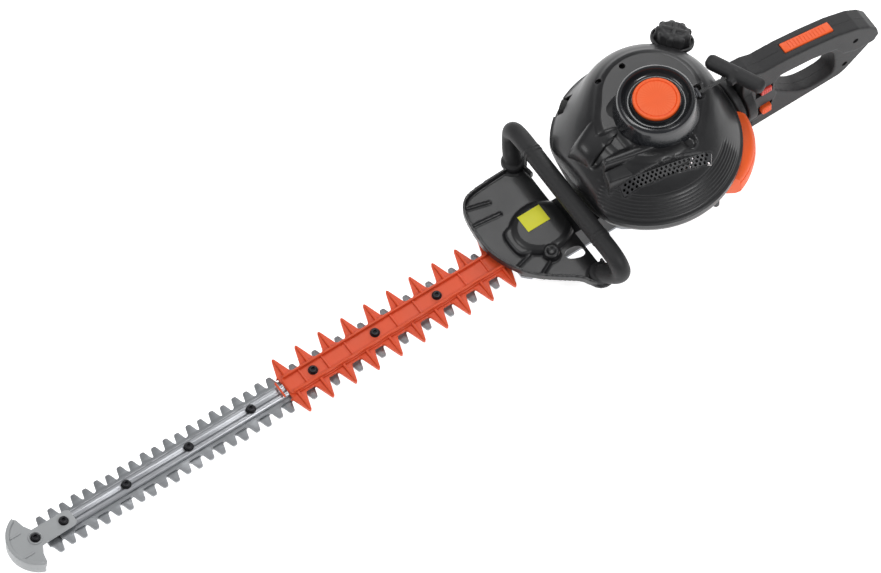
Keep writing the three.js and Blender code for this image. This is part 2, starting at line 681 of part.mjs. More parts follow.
function flywheel() {
  const z = FLYWHEEL_Z;
  const disc = turned([[SHAFT_R + GAP, z], [FLYWHEEL_R, z], [FLYWHEEL_R, z + 6], [14, z + 6], [12, z + 15],
    [SHAFT_R + GAP, z + 15], [SHAFT_R + GAP, z]], 0, 0, 24);
  const fans = Array.from({ length: FAN_BLADES }, (unused, i) => {
    const vane = new THREE.BoxGeometry(26, 1.8, 10);
    vane.rotateZ(0.5).translate(35, 0, z + 10).rotateZ((i * 2 * Math.PI) / FAN_BLADES);
    return solid(vane);
  });
  return join(disc, ...fans);
}

function buildEngine() {
  const core = station(0, 0, 0, CYLINDER_ANGLE);
  add('crank_lower', crankLower(), steel, core);
  add('crank_upper', crankUpper(), steel, core);
  add('crank_bearing_lower', ring(BEARING_R, SHAFT_R + GAP, CASE_BOTTOM_Z + 1, webLow - 1), steel);
  add('crank_bearing_upper', ring(BEARING_R, SHAFT_R + GAP, webHigh + WEB_T + 1.5, CASE_HEAD_Z - 2), steel);
  add('crankcase', crankcase(), aluminium, core);
  add('connecting_rod', connectingRod(), steel, core);
  add('piston', piston(), aluminium, core);
  add('piston_pin', rod(pistonPinX, 0, CRANK_Z - 13, CRANK_Z + 13, 4, 12), steel, core);
  add('cylinder', cylinder(), aluminium, core);
  add('spark_plug', sparkPlug(), steel, core);
  add('plug_boot', plugBoot(), rubber, core);
  add('muffler', muffler(), darkSteel, core);
  add('flywheel', flywheel(), aluminium);
  add('ignition_coil', box(FLYWHEEL_R + 3, FLYWHEEL_R + 16, -15, 15, FLYWHEEL_Z + 1, FLYWHEEL_Z + 11), blackPlastic,
    station(0, 0, 0, 75));
}

// ---- Intake side --------------------------------------------------------------------------------------------

const carbFront = CASE_R + 8;
const carbBack = carbFront + 22;
const trayBack = carbBack + GAP;
const TRAY_T = 10;
const TRAY_HALF = 26;

function carburettor() {
  const body = join(
    box(carbFront, carbBack, -14, 14, CRANK_Z - 14, CRANK_Z + 14),
    rodX(CASE_R + 4, carbFront + 1, 0, CRANK_Z, 9),
    rodY(carbFront + 11, -20, -13, CRANK_Z, 5),
  );
  return cut(body, rodX(CASE_R, carbBack + 1, 0, CRANK_Z, 6));
}

function filterCase() {
  const tray = box(trayBack, trayBack + TRAY_T, -TRAY_HALF, TRAY_HALF, 66, 116);
  const inside = box(trayBack + 2, trayBack + TRAY_T + 1, 2 - TRAY_HALF, TRAY_HALF - 2, 68, 114);
  return cut(tray, inside, rodX(trayBack - 1, trayBack + 3, 0, CRANK_Z, 7));
}

// The orange filter cover: a round-backed bowl that stands out past the round body.
function filterCover() {
  const turn = (r) => [[0, 60], [r - 16, 60], [r - 5, 66], [r, 76], [r - 1, 88], [r - 5, 97], [0, 97]];
  const shiftX = BODY_X * Math.cos(INTAKE_ANGLE * DEG) + FILTER_COVER_SHIFT;
  const shiftY = -BODY_X * Math.sin(INTAKE_ANGLE * DEG);
  const bowl = turned(turn(FILTER_COVER_R), shiftX, shiftY, 36);
  const hollow = turned([[0, 59], [FILTER_COVER_R - 18, 62.5], [FILTER_COVER_R - 2.6, 76], [FILTER_COVER_R - 8, 94],
    [0, 94.5]], shiftX, shiftY, 36);
  const keepOut = box(-120, trayBack + TRAY_T + 1, -120, 120, 50, 110);
  return cut(bowl, hollow, keepOut, box(-120, 200, -120, -45, 50, 110), box(-120, 200, 39, 120, 50, 110));
}

function fuelTank() {
  const plan = [[-30, -52], [-30, -80], [-46, -71], [-58, -60], [-68, -42], [-72, -22], [-48, -22], [-42, -38]];
  const body = prism(plan, TANK_Z, TANK_TOP_Z);
  const inside = prism(shrink(plan, 3), TANK_Z + 3, TANK_TOP_Z - 3);
  const neck = capRod(NECK_R, -NECK_DEPTH, -0.4);
  return cut(join(body, neck, elbow(NECK_R - 3)), inside, capRod(NECK_R - 3, 3 - NECK_DEPTH, 1), elbow(NECK_R - 6));
}

// A plan outline pulled in towards its middle by about the given wall.
function shrink(points, wall) {
  const cx = points.reduce((sum, p) => sum + p[0], 0) / points.length;
  const cy = points.reduce((sum, p) => sum + p[1], 0) / points.length;
  return points.map(([x, y]) => {
    const d = Math.hypot(x - cx, y - cy);
    return [x - ((x - cx) / d) * wall, y - ((y - cy) / d) * wall];
  });
}

function alongCap(geometry) {
  const axis = new THREE.Vector3(...CAP_AXIS).normalize();
  geometry.applyQuaternion(new THREE.Quaternion().setFromUnitVectors(new THREE.Vector3(0, 0, 1), axis));
  return place(geometry, ...CAP_AT);
}

// A cylinder on the fuel cap's axis, between two heights from the cap's underside.
function capRod(r, from, to) {
  return alongCap(new THREE.CylinderGeometry(r, r, to - from, 20).rotateX(Math.PI / 2)
    .translate(0, 0, (from + to) / 2));
}

// The tank's filler elbow, from the neck down into the tank.
function elbow(r) {
  const axis = new THREE.Vector3(...CAP_AXIS).normalize();
  const start = new THREE.Vector3(...CAP_AT).addScaledVector(axis, -16);
  const path = new THREE.LineCurve3(start, new THREE.Vector3(...ELBOW_END));
  return solid(new THREE.ExtrudeGeometry(shapeOf(circle(0, 0, r, 16)), { steps: 1, extrudePath: path }));
}

function fuelCap() {
  const profile = [[0, 0], [CAP_R - 2, 0], [CAP_R - 0.5, 2], [CAP_R - 0.5, 13], [CAP_R - 3, 16], [8, 16], [8, 18],
    [0, 18]].map(([r, h]) => new THREE.Vector2(r, h));
  const parts = [alongCap(new THREE.LatheGeometry(profile, 18).rotateX(Math.PI / 2))];
  for (let i = 0; i < CAP_LUGS; i += 1) {
    const lug = new THREE.BoxGeometry(6, 6, 14).translate(CAP_R - 3, 0, 9).rotateZ((i * 2 * Math.PI) / CAP_LUGS);
    parts.push(alongCap(lug));
  }
  const plug = alongCap(new THREE.CylinderGeometry(9.5, 9.5, 9, 16).rotateX(Math.PI / 2).translate(0, 0, -4));
  return join(...parts, plug);
}

// The choke lever: a flat arm on an upright pivot inside the body, with a knob outside its slot.
function chokeLever() {
  return join(
    rod(0, 0, -2, 2, 4.5, 14),
    box(0, CHOKE_ARM, -2.2, 2.2, -2, 2),
    rod(CHOKE_ARM, 0, -4.5, 4.5, 4, 12),
  );
}

// The primer bulb: a soft dome that looks out of a round hole in the lower cover.
function primerBulb() {
  const profile = [[0, 0], [PRIMER_R, 0], [PRIMER_R, 10], [PRIMER_R - 2, 14], [PRIMER_R - 5, 16.5], [0, 17.2]];
  const points = profile.map(([r, h]) => new THREE.Vector2(r, h));
  return solid(new THREE.LatheGeometry(points, 16).rotateZ(-Math.PI / 2));
}

function buildIntake() {
  const side = station(0, 0, 0, INTAKE_ANGLE);
  add('carburettor', carburettor(), aluminium, side);
  add('air_filter_case', filterCase(), blackPlastic, side);
  add('air_filter_element', box(trayBack + 2.3, trayBack + TRAY_T - 1, 2.4 - TRAY_HALF, TRAY_HALF - 2.4, 68.4, 113.6), paper, side);
  add('air_filter_cover', filterCover(), orangePlastic, side);
  const choke = station(BODY_X + CHOKE_PIVOT_R * Math.cos(CHOKE_ANGLE * DEG), CHOKE_PIVOT_R * Math.sin(CHOKE_ANGLE * DEG),
    CHOKE_Z, CHOKE_ANGLE);
  add('choke_lever', chokeLever(), blackPlastic, choke);
  add('primer_bulb', primerBulb(), redPlastic, station(BODY_X + PRIMER_SEAT_R * Math.cos(PRIMER_ANGLE * DEG),
    PRIMER_SEAT_R * Math.sin(PRIMER_ANGLE * DEG), PRIMER_Z, PRIMER_ANGLE));
  add('fuel_tank', fuelTank(), greyPlastic);
  add('fuel_cap', fuelCap(), blackPlastic);
}

// ---- Covers and starter -------------------------------------------------------------------------------------

// The round body's outline: radius at each height, pulled in by the wall when asked.
function bodyProfile(wall) {
  return [[0, BODY_BOTTOM_Z + wall], [84 - wall, BODY_BOTTOM_Z + wall], [91 - wall, 70], [98 - wall, 82],
    [BODY_R - wall, 94], [BODY_R - 2 - wall, 106], [94 - wall, 120], [84 - wall, 134], [72 - wall, 147],
    [58 - wall / 2, DOME_TOP_Z - 3 - wall], [50, DOME_TOP_Z - wall], [0, DOME_TOP_Z - wall]];
}

// The raised shoulder over the cylinder and the tank, on the machine's right.
function shoulder(wall) {
  const profile = [[0, 80], [80 - wall, 80], [84 - wall, 100], [83 - wall, 120], [76 - wall, 140], [66 - wall, 152],
    [52, DOME_TOP_Z - wall], [0, DOME_TOP_Z - wall]];
  return turned(profile, -6, -20, 22);
}

function bodyShell() {
  const behind = (x) => box(-200, x, -200, 200, 0, 200);
  const outer = join(turned(bodyProfile(0), BODY_X, 0, BODY_SIDES), shoulder(0)).intersect(behind(BODY_FRONT_X));
  const inner = join(turned(bodyProfile(COVER_WALL), BODY_X, 0, BODY_SIDES), shoulder(COVER_WALL))
    .intersect(behind(BODY_FRONT_X - COVER_WALL));
  const neckBoss = capRod(NECK_R + 3.5, -NECK_DEPTH - 3, -RUN);
  const well = capRod(CAP_R + 4, -10, 40).intersect(outer);
  return cut(join(cut(outer, inner), neckBoss, well), capRod(CAP_R + 1.5, -GAP, 50));
}

// Openings through both covers: the filter cover, the plug window, the tank neck and the blade side.
function bodyOpenings() {
  const turnedTo = (degrees, body) => body.rotate([0, 0, degrees]);
  const aboutBody = (degrees, body) => turnedTo(degrees, body).translate([BODY_X, 0, 0]);
  return [
    aboutBody(CHOKE_ANGLE, box(CHOKE_PIVOT_R + 4, 120, -16, 6, CHOKE_Z - 5.5, CHOKE_Z + 5.5)),
    aboutBody(PRIMER_ANGLE, rodX(PRIMER_SEAT_R + 6, 120, 0, PRIMER_Z, PRIMER_R + RUN, 16)),
    turnedTo(INTAKE_ANGLE, box(58, 130, -46, 43, 57, 98)),
    turnedTo(CYLINDER_ANGLE, box(86, 130, -13, 13, CRANK_Z - 12, CRANK_Z + 12)),
    capRod(NECK_R + 0.8, -NECK_DEPTH - RUN, 30),
    rod(0, 0, STARTER_Z - GAP, 200, STARTER_R + 1, 28),
    box(-90, -STARTER_R + 3, ROPE_Y - 9, ROPE_Y + 9, STARTER_Z + 2, 200),
    rodX(-130, -60, 0, SWIVEL_Z, SWIVEL_ARM_R + RUN, 20),
    box(-100, -80, 0, 18, SWIVEL_Z, BODY_SPLIT_Z + 1),
    turnedTo(CYLINDER_ANGLE, rodX(88, 130, EXHAUST_Y, EXHAUST_Z, EXHAUST_R + 2)),
    elbow(NECK_R - 2.2),
  ];
}

function engineCover() {
  const below = box(-150, 150, -150, 150, 0, BODY_SPLIT_Z);
  const grilleHole = box(-30, 74, 56, 110, 121, 133);
  return cut(bodyShell(), below, grilleHole, ...bodyOpenings());
}

function lowerCover() {
  const above = box(-150, 150, -150, 150, BODY_SPLIT_Z - GAP, 300);
  const gearHole = rod(0, 0, 0, 80, BELL_R + 2, 20);
  return cut(bodyShell(), above, gearHole, ...bodyOpenings());
}

// The perforated outlet panel, a slice of the body's own skin set in its window.
function outletPanel() {
  const band = (a, b) => turned(
    [[0, 121 + GAP], [94 - a, 121 + GAP], [84 - a, 133 - GAP], [0, 133 - GAP]], BODY_X, 0, BODY_SIDES).subtract(
    turned([[0, 120], [94 - b, 120], [84 - b, 134], [0, 134]], BODY_X, 0, BODY_SIDES));
  let panel = band(1, 3.4).intersect(box(-30 + GAP, 74 - GAP, 56 + GAP, 120, 100, 140));
  for (let i = 0; i < 12; i += 1) {
    const x = -18 + i * 7.4;
    panel = panel.subtract(box(x, x + 3, 50, 120, 123.5 + (i % 2) * 2, 128.5 + (i % 2) * 2));
  }
  return panel;
}

function starterHousing() {
  const z = STARTER_Z;
  const top = STARTER_TOP_Z;
  const outside = [[STARTER_R, z], [STARTER_R, z + 14], [STARTER_RING_R, z + 18], [STARTER_RING_R, top - 3],
    [STARTER_RING_R - 3, top], [STARTER_RING_R - 8, top], [32, top - 6], [DISC_R + 1, top - 5], [0, top - 5]];
  const inside = [[0, top - 8], [34, top - 8.5], [STARTER_RING_R - 3, top - 5.5], [STARTER_RING_R - 3, z + 15],
    [STARTER_R - 3, z + 12], [STARTER_R - 3, z], [STARTER_R, z]];
  const shell = turned([...outside, ...inside], 0, 0, 28);
  const post = rod(0, 0, PULLEY_Z + 1, top - 6, 6, 16);
  const mouth = box(-STARTER_R - 2, -STARTER_R + 8, ROPE_Y - 6, ROPE_Y + 6, z + 3, z + 12);
  return cut(join(shell, post), mouth);
}

function starterPulley() {
  const z = PULLEY_Z;
  return turned([[6 + RUN, z], [PULLEY_R, z], [PULLEY_R, z + 2], [PULLEY_R - 5, z + 3.5], [PULLEY_R - 5, z + 6.5],
    [PULLEY_R, z + 8], [PULLEY_R, z + 10], [12, z + 10], [12, z + 16], [6 + RUN, z + 16], [6 + RUN, z]], 0, 0, 20);
}

// The recoil spring: a flat spiral strip in the space above the pulley.
function recoilSpring() {
  const turns = 3;
  const steps = 40;
  const side = (offset) => Array.from({ length: steps + 1 }, (unused, i) => {
    const a = (i / steps) * turns * 2 * Math.PI;
    const r = 16 + (i / steps) * 13 + offset;
    return [r * Math.cos(a), r * Math.sin(a)];
  });
  return prism([...side(0.6), ...side(-0.6).reverse()], PULLEY_Z + 11, PULLEY_Z + 17);
}

const ropeStart = [-STARTER_R - GAP, ROPE_Y, STARTER_Z + 7.5];
const gripAt = [-97, 12, 161];

function starterRope() {
  const from = new THREE.Vector3(...ropeStart);
  const to = new THREE.Vector3(...gripAt).addScaledVector(new THREE.Vector3(1, -0.15, -0.25).normalize(), 13);
  return tube([from.toArray(), from.clone().lerp(to, 0.5).toArray(), to.toArray()], ROPE_R, 4, 10);
}

// The pull grip: a rounded bar with a short neck that takes the rope.
function starterGrip() {
  const bar = new THREE.ExtrudeGeometry(shapeOf(slot(0, 0, 37, 7.5, 6)), { depth: 15, bevelEnabled: true,
    bevelThickness: 2, bevelSize: 2, bevelOffset: -2, bevelSegments: 1 });
  bar.rotateZ(Math.PI / 2).translate(0, 0, -7.5).rotateZ(GRIP_TILT * DEG);
  const neck = new THREE.CylinderGeometry(4, 6, 10, 14).rotateZ(-Math.PI / 2).translate(6.5, -1, -1.6);
  return join(place(bar, ...gripAt), place(neck, ...gripAt));
}

function buildCovers() {
  add('engine_cover', engineCover(), glossPlastic);
  add('lower_cover', lowerCover(), blackPlastic);
  add('outlet_panel', outletPanel(), blackPlastic);
  add('starter_housing', starterHousing(), glossPlastic);
  add('starter_disc', turned([[0, STARTER_TOP_Z - 4.7], [DISC_R, STARTER_TOP_Z - 4.7], [DISC_R, STARTER_TOP_Z - 2],
    [DISC_R - 2, STARTER_TOP_Z - 0.8], [0, STARTER_TOP_Z - 0.3]], 0, 0, 30), orangePlastic);
  add('starter_pulley', starterPulley(), greyPlastic);
  add('recoil_spring', recoilSpring(), steel);
  add('starter_rope', starterRope(), rubber);
  add('starter_grip', starterGrip(), blackPlastic);
}

// ---- Shield and loop handle ---------------------------------------------------------------------------------

// The shield's plan: deep on the right, swept back on the left, with a lug for each foot of the loop.
const SHIELD_PLAN = [[118, -78], [134, -82], [150, -82], [192, -80], [204, -74], [212, -62], [216, -40], [218, -8],
  [208, 20], [194, 44], [172, 62], [150, 78], [146, 88], [138, 95], [122, 95], [118, 88]];

function handShield() {
  const z1 = SHIELD_Z + SHIELD_T;
  const plate = prism(SHIELD_PLAN, SHIELD_Z, z1);
  const rim = cut(prism(SHIELD_PLAN, SHIELD_Z, z1 + SHIELD_RIM), prism(shrink(SHIELD_PLAN, 3), 40, 90));
  const hump = prism(nosePlan(30, 122, 186), z1 - 1, z1 + 8);
  const rear = box(100, 124, -60, 70, 40, 90);
  const bolts = [-1, 1].map((s) => rod(LOOP_FOOT_X, s * LOOP_FOOT_HALF, 30, 70, 4 + GAP, 12));
  const feet = [-1, 1].map((s) => rod(LOOP_FOOT_X, s * LOOP_FOOT_HALF, z1, 90, LOOP_R + 3.5, 16));
  return cut(join(plate, rim, hump), rear, ...feet, ...bolts);
}

function loopHandle() {
  const z0 = SHIELD_Z + SHIELD_T + GAP;
  const side = (s) => [
    [LOOP_FOOT_X, s * LOOP_FOOT_HALF, z0], [LOOP_FOOT_X - 1, s * (LOOP_FOOT_HALF + 2), z0 + 8],
    [LOOP_X + 3, s * (LOOP_HALF - 4), z0 + 17], [LOOP_X, s * LOOP_HALF, LOOP_TOP_Z - 18],
    [LOOP_X, s * (LOOP_HALF - 7), LOOP_TOP_Z - 4], [LOOP_X, s * (LOOP_HALF - 24), LOOP_TOP_Z],
  ];
  const path = [...side(-1), [LOOP_X, -30, LOOP_TOP_Z], [LOOP_X, 30, LOOP_TOP_Z], ...side(1).reverse()];
  const bores = [-1, 1].map((s) => rod(LOOP_FOOT_X, s * LOOP_FOOT_HALF, z0 - 3, z0 + 7, 4 + GAP, 12));
  const floor = box(60, 180, -120, 120, z0 - 20, z0);
  return cut(tube(path, LOOP_R, 32, 9), floor, ...bores);
}

function loopBolt(side) {
  return join(
    rod(LOOP_FOOT_X, side * LOOP_FOOT_HALF, SHIELD_Z - GAP - 5, SHIELD_Z - GAP, 7, 6),
    rod(LOOP_FOOT_X, side * LOOP_FOOT_HALF, SHIELD_Z - GAP - 1, SHIELD_Z + SHIELD_T + 6, 4, 12),
  );
}

function buildFront() {
  const plateZ = SHIELD_Z + SHIELD_T + 8 + GAP;
  add('hand_shield', handShield(), blackPlastic);
  add('shield_plate', box(138, 168, -23, 0, plateZ, plateZ + 0.8), yellowPlate);
  add('loop_handle', loopHandle(), blackPlastic);
  add('loop_bolt_left', loopBolt(1), darkSteel);
  add('loop_bolt_right', loopBolt(-1), darkSteel);
}

// ---- Rear handle --------------------------------------------------------------------------------------------

// The handle's side outline, [x, z], and its finger window.
const HANDLE_SIDE = [
  [HANDLE_FRONT_X, HANDLE_BOTTOM_Z + 4], [HANDLE_FRONT_X - 4, HANDLE_BOTTOM_Z], [-240, HANDLE_BOTTOM_Z],
  [-248, 20], [-284, 50], [HANDLE_REAR_X, 60], [HANDLE_REAR_X + 2, 72], [-278, 86], [-262, 99], [-233, 112],
  [-200, 121], [-166, 128], [-134, 131], [-120, 138], [HANDLE_FRONT_X, 140],
];
const WINDOW = [[-150, 70], [-176, 42], [-190, 31], [-206, 27], [-226, 27], [-233, 34], [-232, 70], [-226, 80],
  [-206, 90], [-176, 97], [-156, 98], [-149, 90]];
const GRIP_SIDE = [[HANDLE_FRONT_X, 30], [-140, 36], [-152, 62], [-150, 92], [-158, 100], [-200, 93], [-232, 82],
  [-244, 62], [-262, 52], [-284, 51], [HANDLE_REAR_X, 60], [HANDLE_REAR_X + 2, 72], [-278, 86], [-262, 99],
  [-233, 112], [-200, 121], [-166, 128], [-134, 131], [-120, 138], [HANDLE_FRONT_X, 140]];

// The orange strip in the top of the grip follows the grip's slope.
const inlayFront = -168;
const inlayRear = -233;
const inlayDrop = 0.235;

function inlaySide(lift, drop, grow) {
  const front = [inlayFront + grow, 128.4];
  const rear = [inlayRear - grow, 128.4 - (inlayFront - inlayRear) * inlayDrop];
  return [[front[0], front[1] - drop], [front[0], front[1] + lift], [rear[0], rear[1] + lift],
    [rear[0], rear[1] - drop]];
}

const trigger = [[-152, 104], [-158, 108], [-170, 104], [-196, 92], [-206, 82], [-204, 74], [-196, 76], [-184, 82],
  [-168, 84], [-160, 80], [-154, 84]];

// Half of the handle, split along its middle: side 1 is the left shell and -1 the right.
function handleShell(side) {
  const spread = (points, from, to) => sidePrism(points, ...(side > 0 ? [from, to] : [-to, -from]));
  const mid = GAP / 2;
  let shell = join(spread(HANDLE_SIDE, mid, WEB_HALF), spread(GRIP_SIDE, mid, GRIP_HALF - 2.5),
    spread(lower(GRIP_SIDE, 2.5), mid, GRIP_HALF));
  shell = cut(
    shell,
    spread(WINDOW, -1, GRIP_HALF + 1),
    sidePrism([[-147, 84], [-147, 113], [-172, 113], [-212, 104], [-212, 74], [-180, 70]], -TRIGGER_HALF - RUN,
      TRIGGER_HALF + RUN),
    sidePrism(inlaySide(20, INLAY_T + INLAY_TRAVEL + RUN, 0.6), -INLAY_HALF - GAP, INLAY_HALF + GAP),
    rodY(-156, -7.5, 7.5, 103, 2 + GAP, 12),
  );
  if (side > 0) {
    shell = cut(shell, box(-147, -124, GRIP_HALF - 5, 30, 80, 94), box(-147, -124, GRIP_HALF - 5, 30, 40, 58));
  }
  return shell;
}

// The same outline a little lower and shorter, which steps the grip's upper edge.
function lower(points, drop) {
  return points.map(([x, z]) => [Math.max(x, HANDLE_REAR_X + drop), z > 98 ? z - drop : z]);
}

function swivelMount() {
  const disc = rodX(-94, HANDLE_FRONT_X + 2 + GAP, 0, SWIVEL_Z, SWIVEL_R, 36);
  const arm = rodX(-94, -BELL_R - RUN, 0, SWIVEL_Z, SWIVEL_ARM_R, 20);
  return join(disc, arm);
}

function throttleTrigger() {
  return join(sidePrism(trigger, -TRIGGER_HALF, TRIGGER_HALF), rodY(-156, -7, 7, 103, 2, 12));
}

function buildRear() {
  add('swivel_mount', swivelMount(), blackPlastic);
  add('handle_shell_left', handleShell(1), blackPlastic);
  add('handle_shell_right', handleShell(-1), blackPlastic);
  add('grip_inlay', sidePrism(inlaySide(0.8, INLAY_T, 0), -INLAY_HALF, INLAY_HALF), orangePlastic);
  add('throttle_trigger', throttleTrigger(), redPlastic);
  add('stop_switch', box(-145, -131, GRIP_HALF - 4.4, GRIP_HALF + 3, 82, 92), redPlastic);
  add('swivel_latch', box(-144, -132, GRIP_HALF - 4.4, GRIP_HALF + 4, 42, 55), orangePlastic);
}

buildCuttingUnit();
buildDrive();
buildEngine();
buildIntake();
buildCovers();
buildFront();
buildRear();

export default trimmer;
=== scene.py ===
"""Looks for a petrol hedge trimmer, built round its packed CAD frame."""

import math

import bpy
import numpy as np
from mathutils import Matrix, Vector


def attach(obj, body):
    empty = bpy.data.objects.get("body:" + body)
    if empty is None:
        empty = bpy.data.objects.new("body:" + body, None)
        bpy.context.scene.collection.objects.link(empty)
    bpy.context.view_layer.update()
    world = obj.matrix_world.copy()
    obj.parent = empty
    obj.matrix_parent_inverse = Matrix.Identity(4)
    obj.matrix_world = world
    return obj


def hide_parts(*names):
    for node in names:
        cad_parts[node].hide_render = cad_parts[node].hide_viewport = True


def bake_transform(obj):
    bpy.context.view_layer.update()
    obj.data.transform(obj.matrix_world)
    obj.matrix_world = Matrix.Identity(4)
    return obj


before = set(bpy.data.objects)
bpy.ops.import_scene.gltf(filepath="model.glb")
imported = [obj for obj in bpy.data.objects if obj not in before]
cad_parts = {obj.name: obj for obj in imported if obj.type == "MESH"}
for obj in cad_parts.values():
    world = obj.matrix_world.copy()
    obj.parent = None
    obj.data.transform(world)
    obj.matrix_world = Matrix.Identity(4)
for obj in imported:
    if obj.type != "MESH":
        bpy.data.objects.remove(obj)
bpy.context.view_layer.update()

bl_info = {
    "name": "Hedge Trimmer Looks",
    "version": (1, 0, 0),
    "blender": (4, 5, 0),
    "location": "View3D > Sidebar > Trimmer",
    "description": "Models the visible pieces and finishes of a petrol hedge trimmer",
    "category": "Object",
}

MAIN = "trimmer"
MM = 0.001
BODY_X = 12.0  # centre of the round engine body, mm
SPLIT = 92.0  # height of the seam between the two covers, mm


# ---- Modelling helpers -----------------------------------------------------------------------------------


def deselect():
    """Leaves edit mode and clears the selection."""
    if bpy.context.mode != "OBJECT":
        bpy.ops.object.mode_set(mode="OBJECT")
    bpy.ops.object.select_all(action="DESELECT")


def pick(*pieces):
    """Selects the pieces, the first one active."""
    deselect()
    for piece in pieces:
        piece.select_set(True)
    bpy.context.view_layer.objects.active = pieces[0]


def edit(piece):
    """Enters edit mode on a piece with all of it selected."""
    pick(piece)
    bpy.ops.object.mode_set(mode="EDIT")
    bpy.ops.mesh.select_all(action="SELECT")


def settle(piece, merge=0.00001):
    """Merges doubles, turns faces outwards and puts the piece's place into its mesh."""
    edit(piece)
    bpy.ops.mesh.remove_doubles(threshold=merge)
    bpy.ops.mesh.normals_make_consistent(inside=False)
    bpy.ops.object.mode_set(mode="OBJECT")
    bpy.ops.object.transform_apply(location=True, rotation=True, scale=True)
    return piece


def loop_of(name, points):
    """A closed line of edges through points given in millimetres."""
    deselect()
    bpy.ops.mesh.primitive_circle_add(vertices=len(points), radius=0.01, fill_type="NOTHING")
    piece = bpy.context.object
    piece.name = name
    for vertex, point in zip(piece.data.vertices, points):
        vertex.co = [c * MM for c in point]
    return piece


def finish_with(piece, kind, **settings):
    """Adds a modifier and applies it."""
    pick(piece)
    bpy.ops.object.modifier_add(type=kind)
    modifier = piece.modifiers[-1]
    for key, value in settings.items():
        setattr(modifier, key, value)
    bpy.ops.object.modifier_apply(modifier=modifier.name)
    return piece


def bevel(piece, width, segments=2, angle=35):
    """Rounds the piece's sharp edges; width in millimetres."""
    return finish_with(piece, "BEVEL", width=width * MM, segments=segments, limit_method="ANGLE",
                       angle_limit=math.radians(angle), use_clamp_overlap=True, miter_outer="MITER_ARC")


def smooth(piece, angle=32):
    """Smooth shading with crisp edges above an angle."""
    pick(piece)
    bpy.ops.object.shade_smooth_by_angle(angle=math.radians(angle))
    return piece


def merge_pieces(first, *others):
    """Joins meshes into one object without a boolean."""
    pick(first, *others)
    bpy.ops.object.join()
    return first


def carve(piece, *tools, operation="DIFFERENCE"):
    """Cuts the tools out of the piece, or unites them with it, and removes them."""
    tool = merge_pieces(*tools) if len(tools) > 1 else tools[0]
    before = len(piece.data.vertices)
    for solver in ("MANIFOLD", "EXACT"):
        pick(piece)
        bpy.ops.object.modifier_add(type="BOOLEAN")
        modifier = piece.modifiers[-1]
        modifier.operation = operation
        modifier.solver = solver
        modifier.object = tool
        bpy.ops.object.modifier_apply(modifier=modifier.name)
        if len(piece.data.vertices) != before:
            break
    bpy.data.objects.remove(tool)
    return piece


def slab(name, points, low, high, plane="XY"):
    """An outline in plan, or in side view for plane XZ, or in front view for YZ, given a thickness."""
    spots = {"XY": lambda a, b: (a, b, low), "XZ": lambda a, b: (a, low, b),
             "YZ": lambda a, b: (low, a, b)}[plane]
    piece = loop_of(name, [spots(a, b) for a, b in points])
    move = {"XY": (0, 0, 1), "XZ": (0, 1, 0), "YZ": (1, 0, 0)}[plane]
    edit(piece)
    bpy.ops.mesh.edge_face_add()
    bpy.ops.mesh.extrude_region_move(
        TRANSFORM_OT_translate={"value": [c * (high - low) * MM for c in move]})
    return settle(piece)


def turned(name, profile, x=0.0, y=0.0, steps=96, axis="Z", matrix=None):
    """A closed profile of (radius, height) points spun about an upright axis, or placed by a matrix."""
    piece = loop_of(name, [(r, 0, h) for r, h in profile])
    edit(piece)
    bpy.ops.mesh.spin(steps=steps, angle=2 * math.pi, center=(0, 0, 0), axis=(0, 0, 1))
    settle(piece)
    if axis == "X":
        piece.data.transform(Matrix.Rotation(math.radians(90), 4, "Y"))
    if axis == "Y":
        piece.data.transform(Matrix.Rotation(math.radians(-90), 4, "X"))
    if matrix is not None:
        piece.data.transform(matrix)
    else:
        piece.data.transform(Matrix.Translation((x * MM, y * MM, 0)))
    return piece


def rod(name, centre, radius, low, high, sides=32, axis="Z"):
    """A plain cylinder used as a tool or as a start; centre is the two other coordinates."""
    deselect()
    spots = {"Z": (centre[0], centre[1], (low + high) / 2), "X": ((low + high) / 2, centre[0], centre[1]),
             "Y": (centre[0], (low + high) / 2, centre[1])}
    turn = {"Z": (0, 0, 0), "X": (0, math.pi / 2, 0), "Y": (math.pi / 2, 0, 0)}
    bpy.ops.mesh.primitive_cylinder_add(vertices=sides, radius=radius * MM, depth=(high - low) * MM,
                                        location=[c * MM for c in spots[axis]], rotation=turn[axis])
    piece = bpy.context.object
    piece.name = name
    bpy.ops.object.transform_apply(location=True, rotation=True, scale=True)
    return piece


def block(name, low, high):
    """A box between two corners in millimetres."""
    deselect()
    middle = [(a + b) / 2 * MM for a, b in zip(low, high)]
    bpy.ops.mesh.primitive_cube_add(size=1, location=middle, scale=[(b - a) * MM for a, b in zip(low, high)])
    piece = bpy.context.object
    piece.name = name
    bpy.ops.object.transform_apply(location=True, rotation=True, scale=True)
    return piece


def tube(name, points, radius, steps=10, roundness=6):
    """A round tube through points in millimetres, with closed ends."""
    deselect()
    bpy.ops.curve.primitive_bezier_curve_add(location=(0, 0, 0))
    line = bpy.context.object
    line.name = name
    spline = line.data.splines[0]
    spline.bezier_points.add(len(points) - 2)
    for knot, point in zip(spline.bezier_points, points):
        knot.co = [c * MM for c in point]
        knot.handle_left_type = knot.handle_right_type = "AUTO"
    line.data.bevel_depth = radius * MM
    line.data.bevel_resolution = roundness
    line.data.resolution_u = steps
    line.data.use_fill_caps = True
    pick(line)
    bpy.ops.object.convert(target="MESH")
    return settle(bpy.context.object)


def softened(points, rounds=2):
    """An outline with its corners cut again and again until they are round."""
    for unused in range(rounds):
        rounded = []
        for (ax, ay), (bx, by) in zip(points, points[1:] + points[:1]):
            rounded.append((0.75 * ax + 0.25 * bx, 0.75 * ay + 0.25 * by))
            rounded.append((0.25 * ax + 0.75 * bx, 0.25 * ay + 0.75 * by))
        points = rounded
    return points


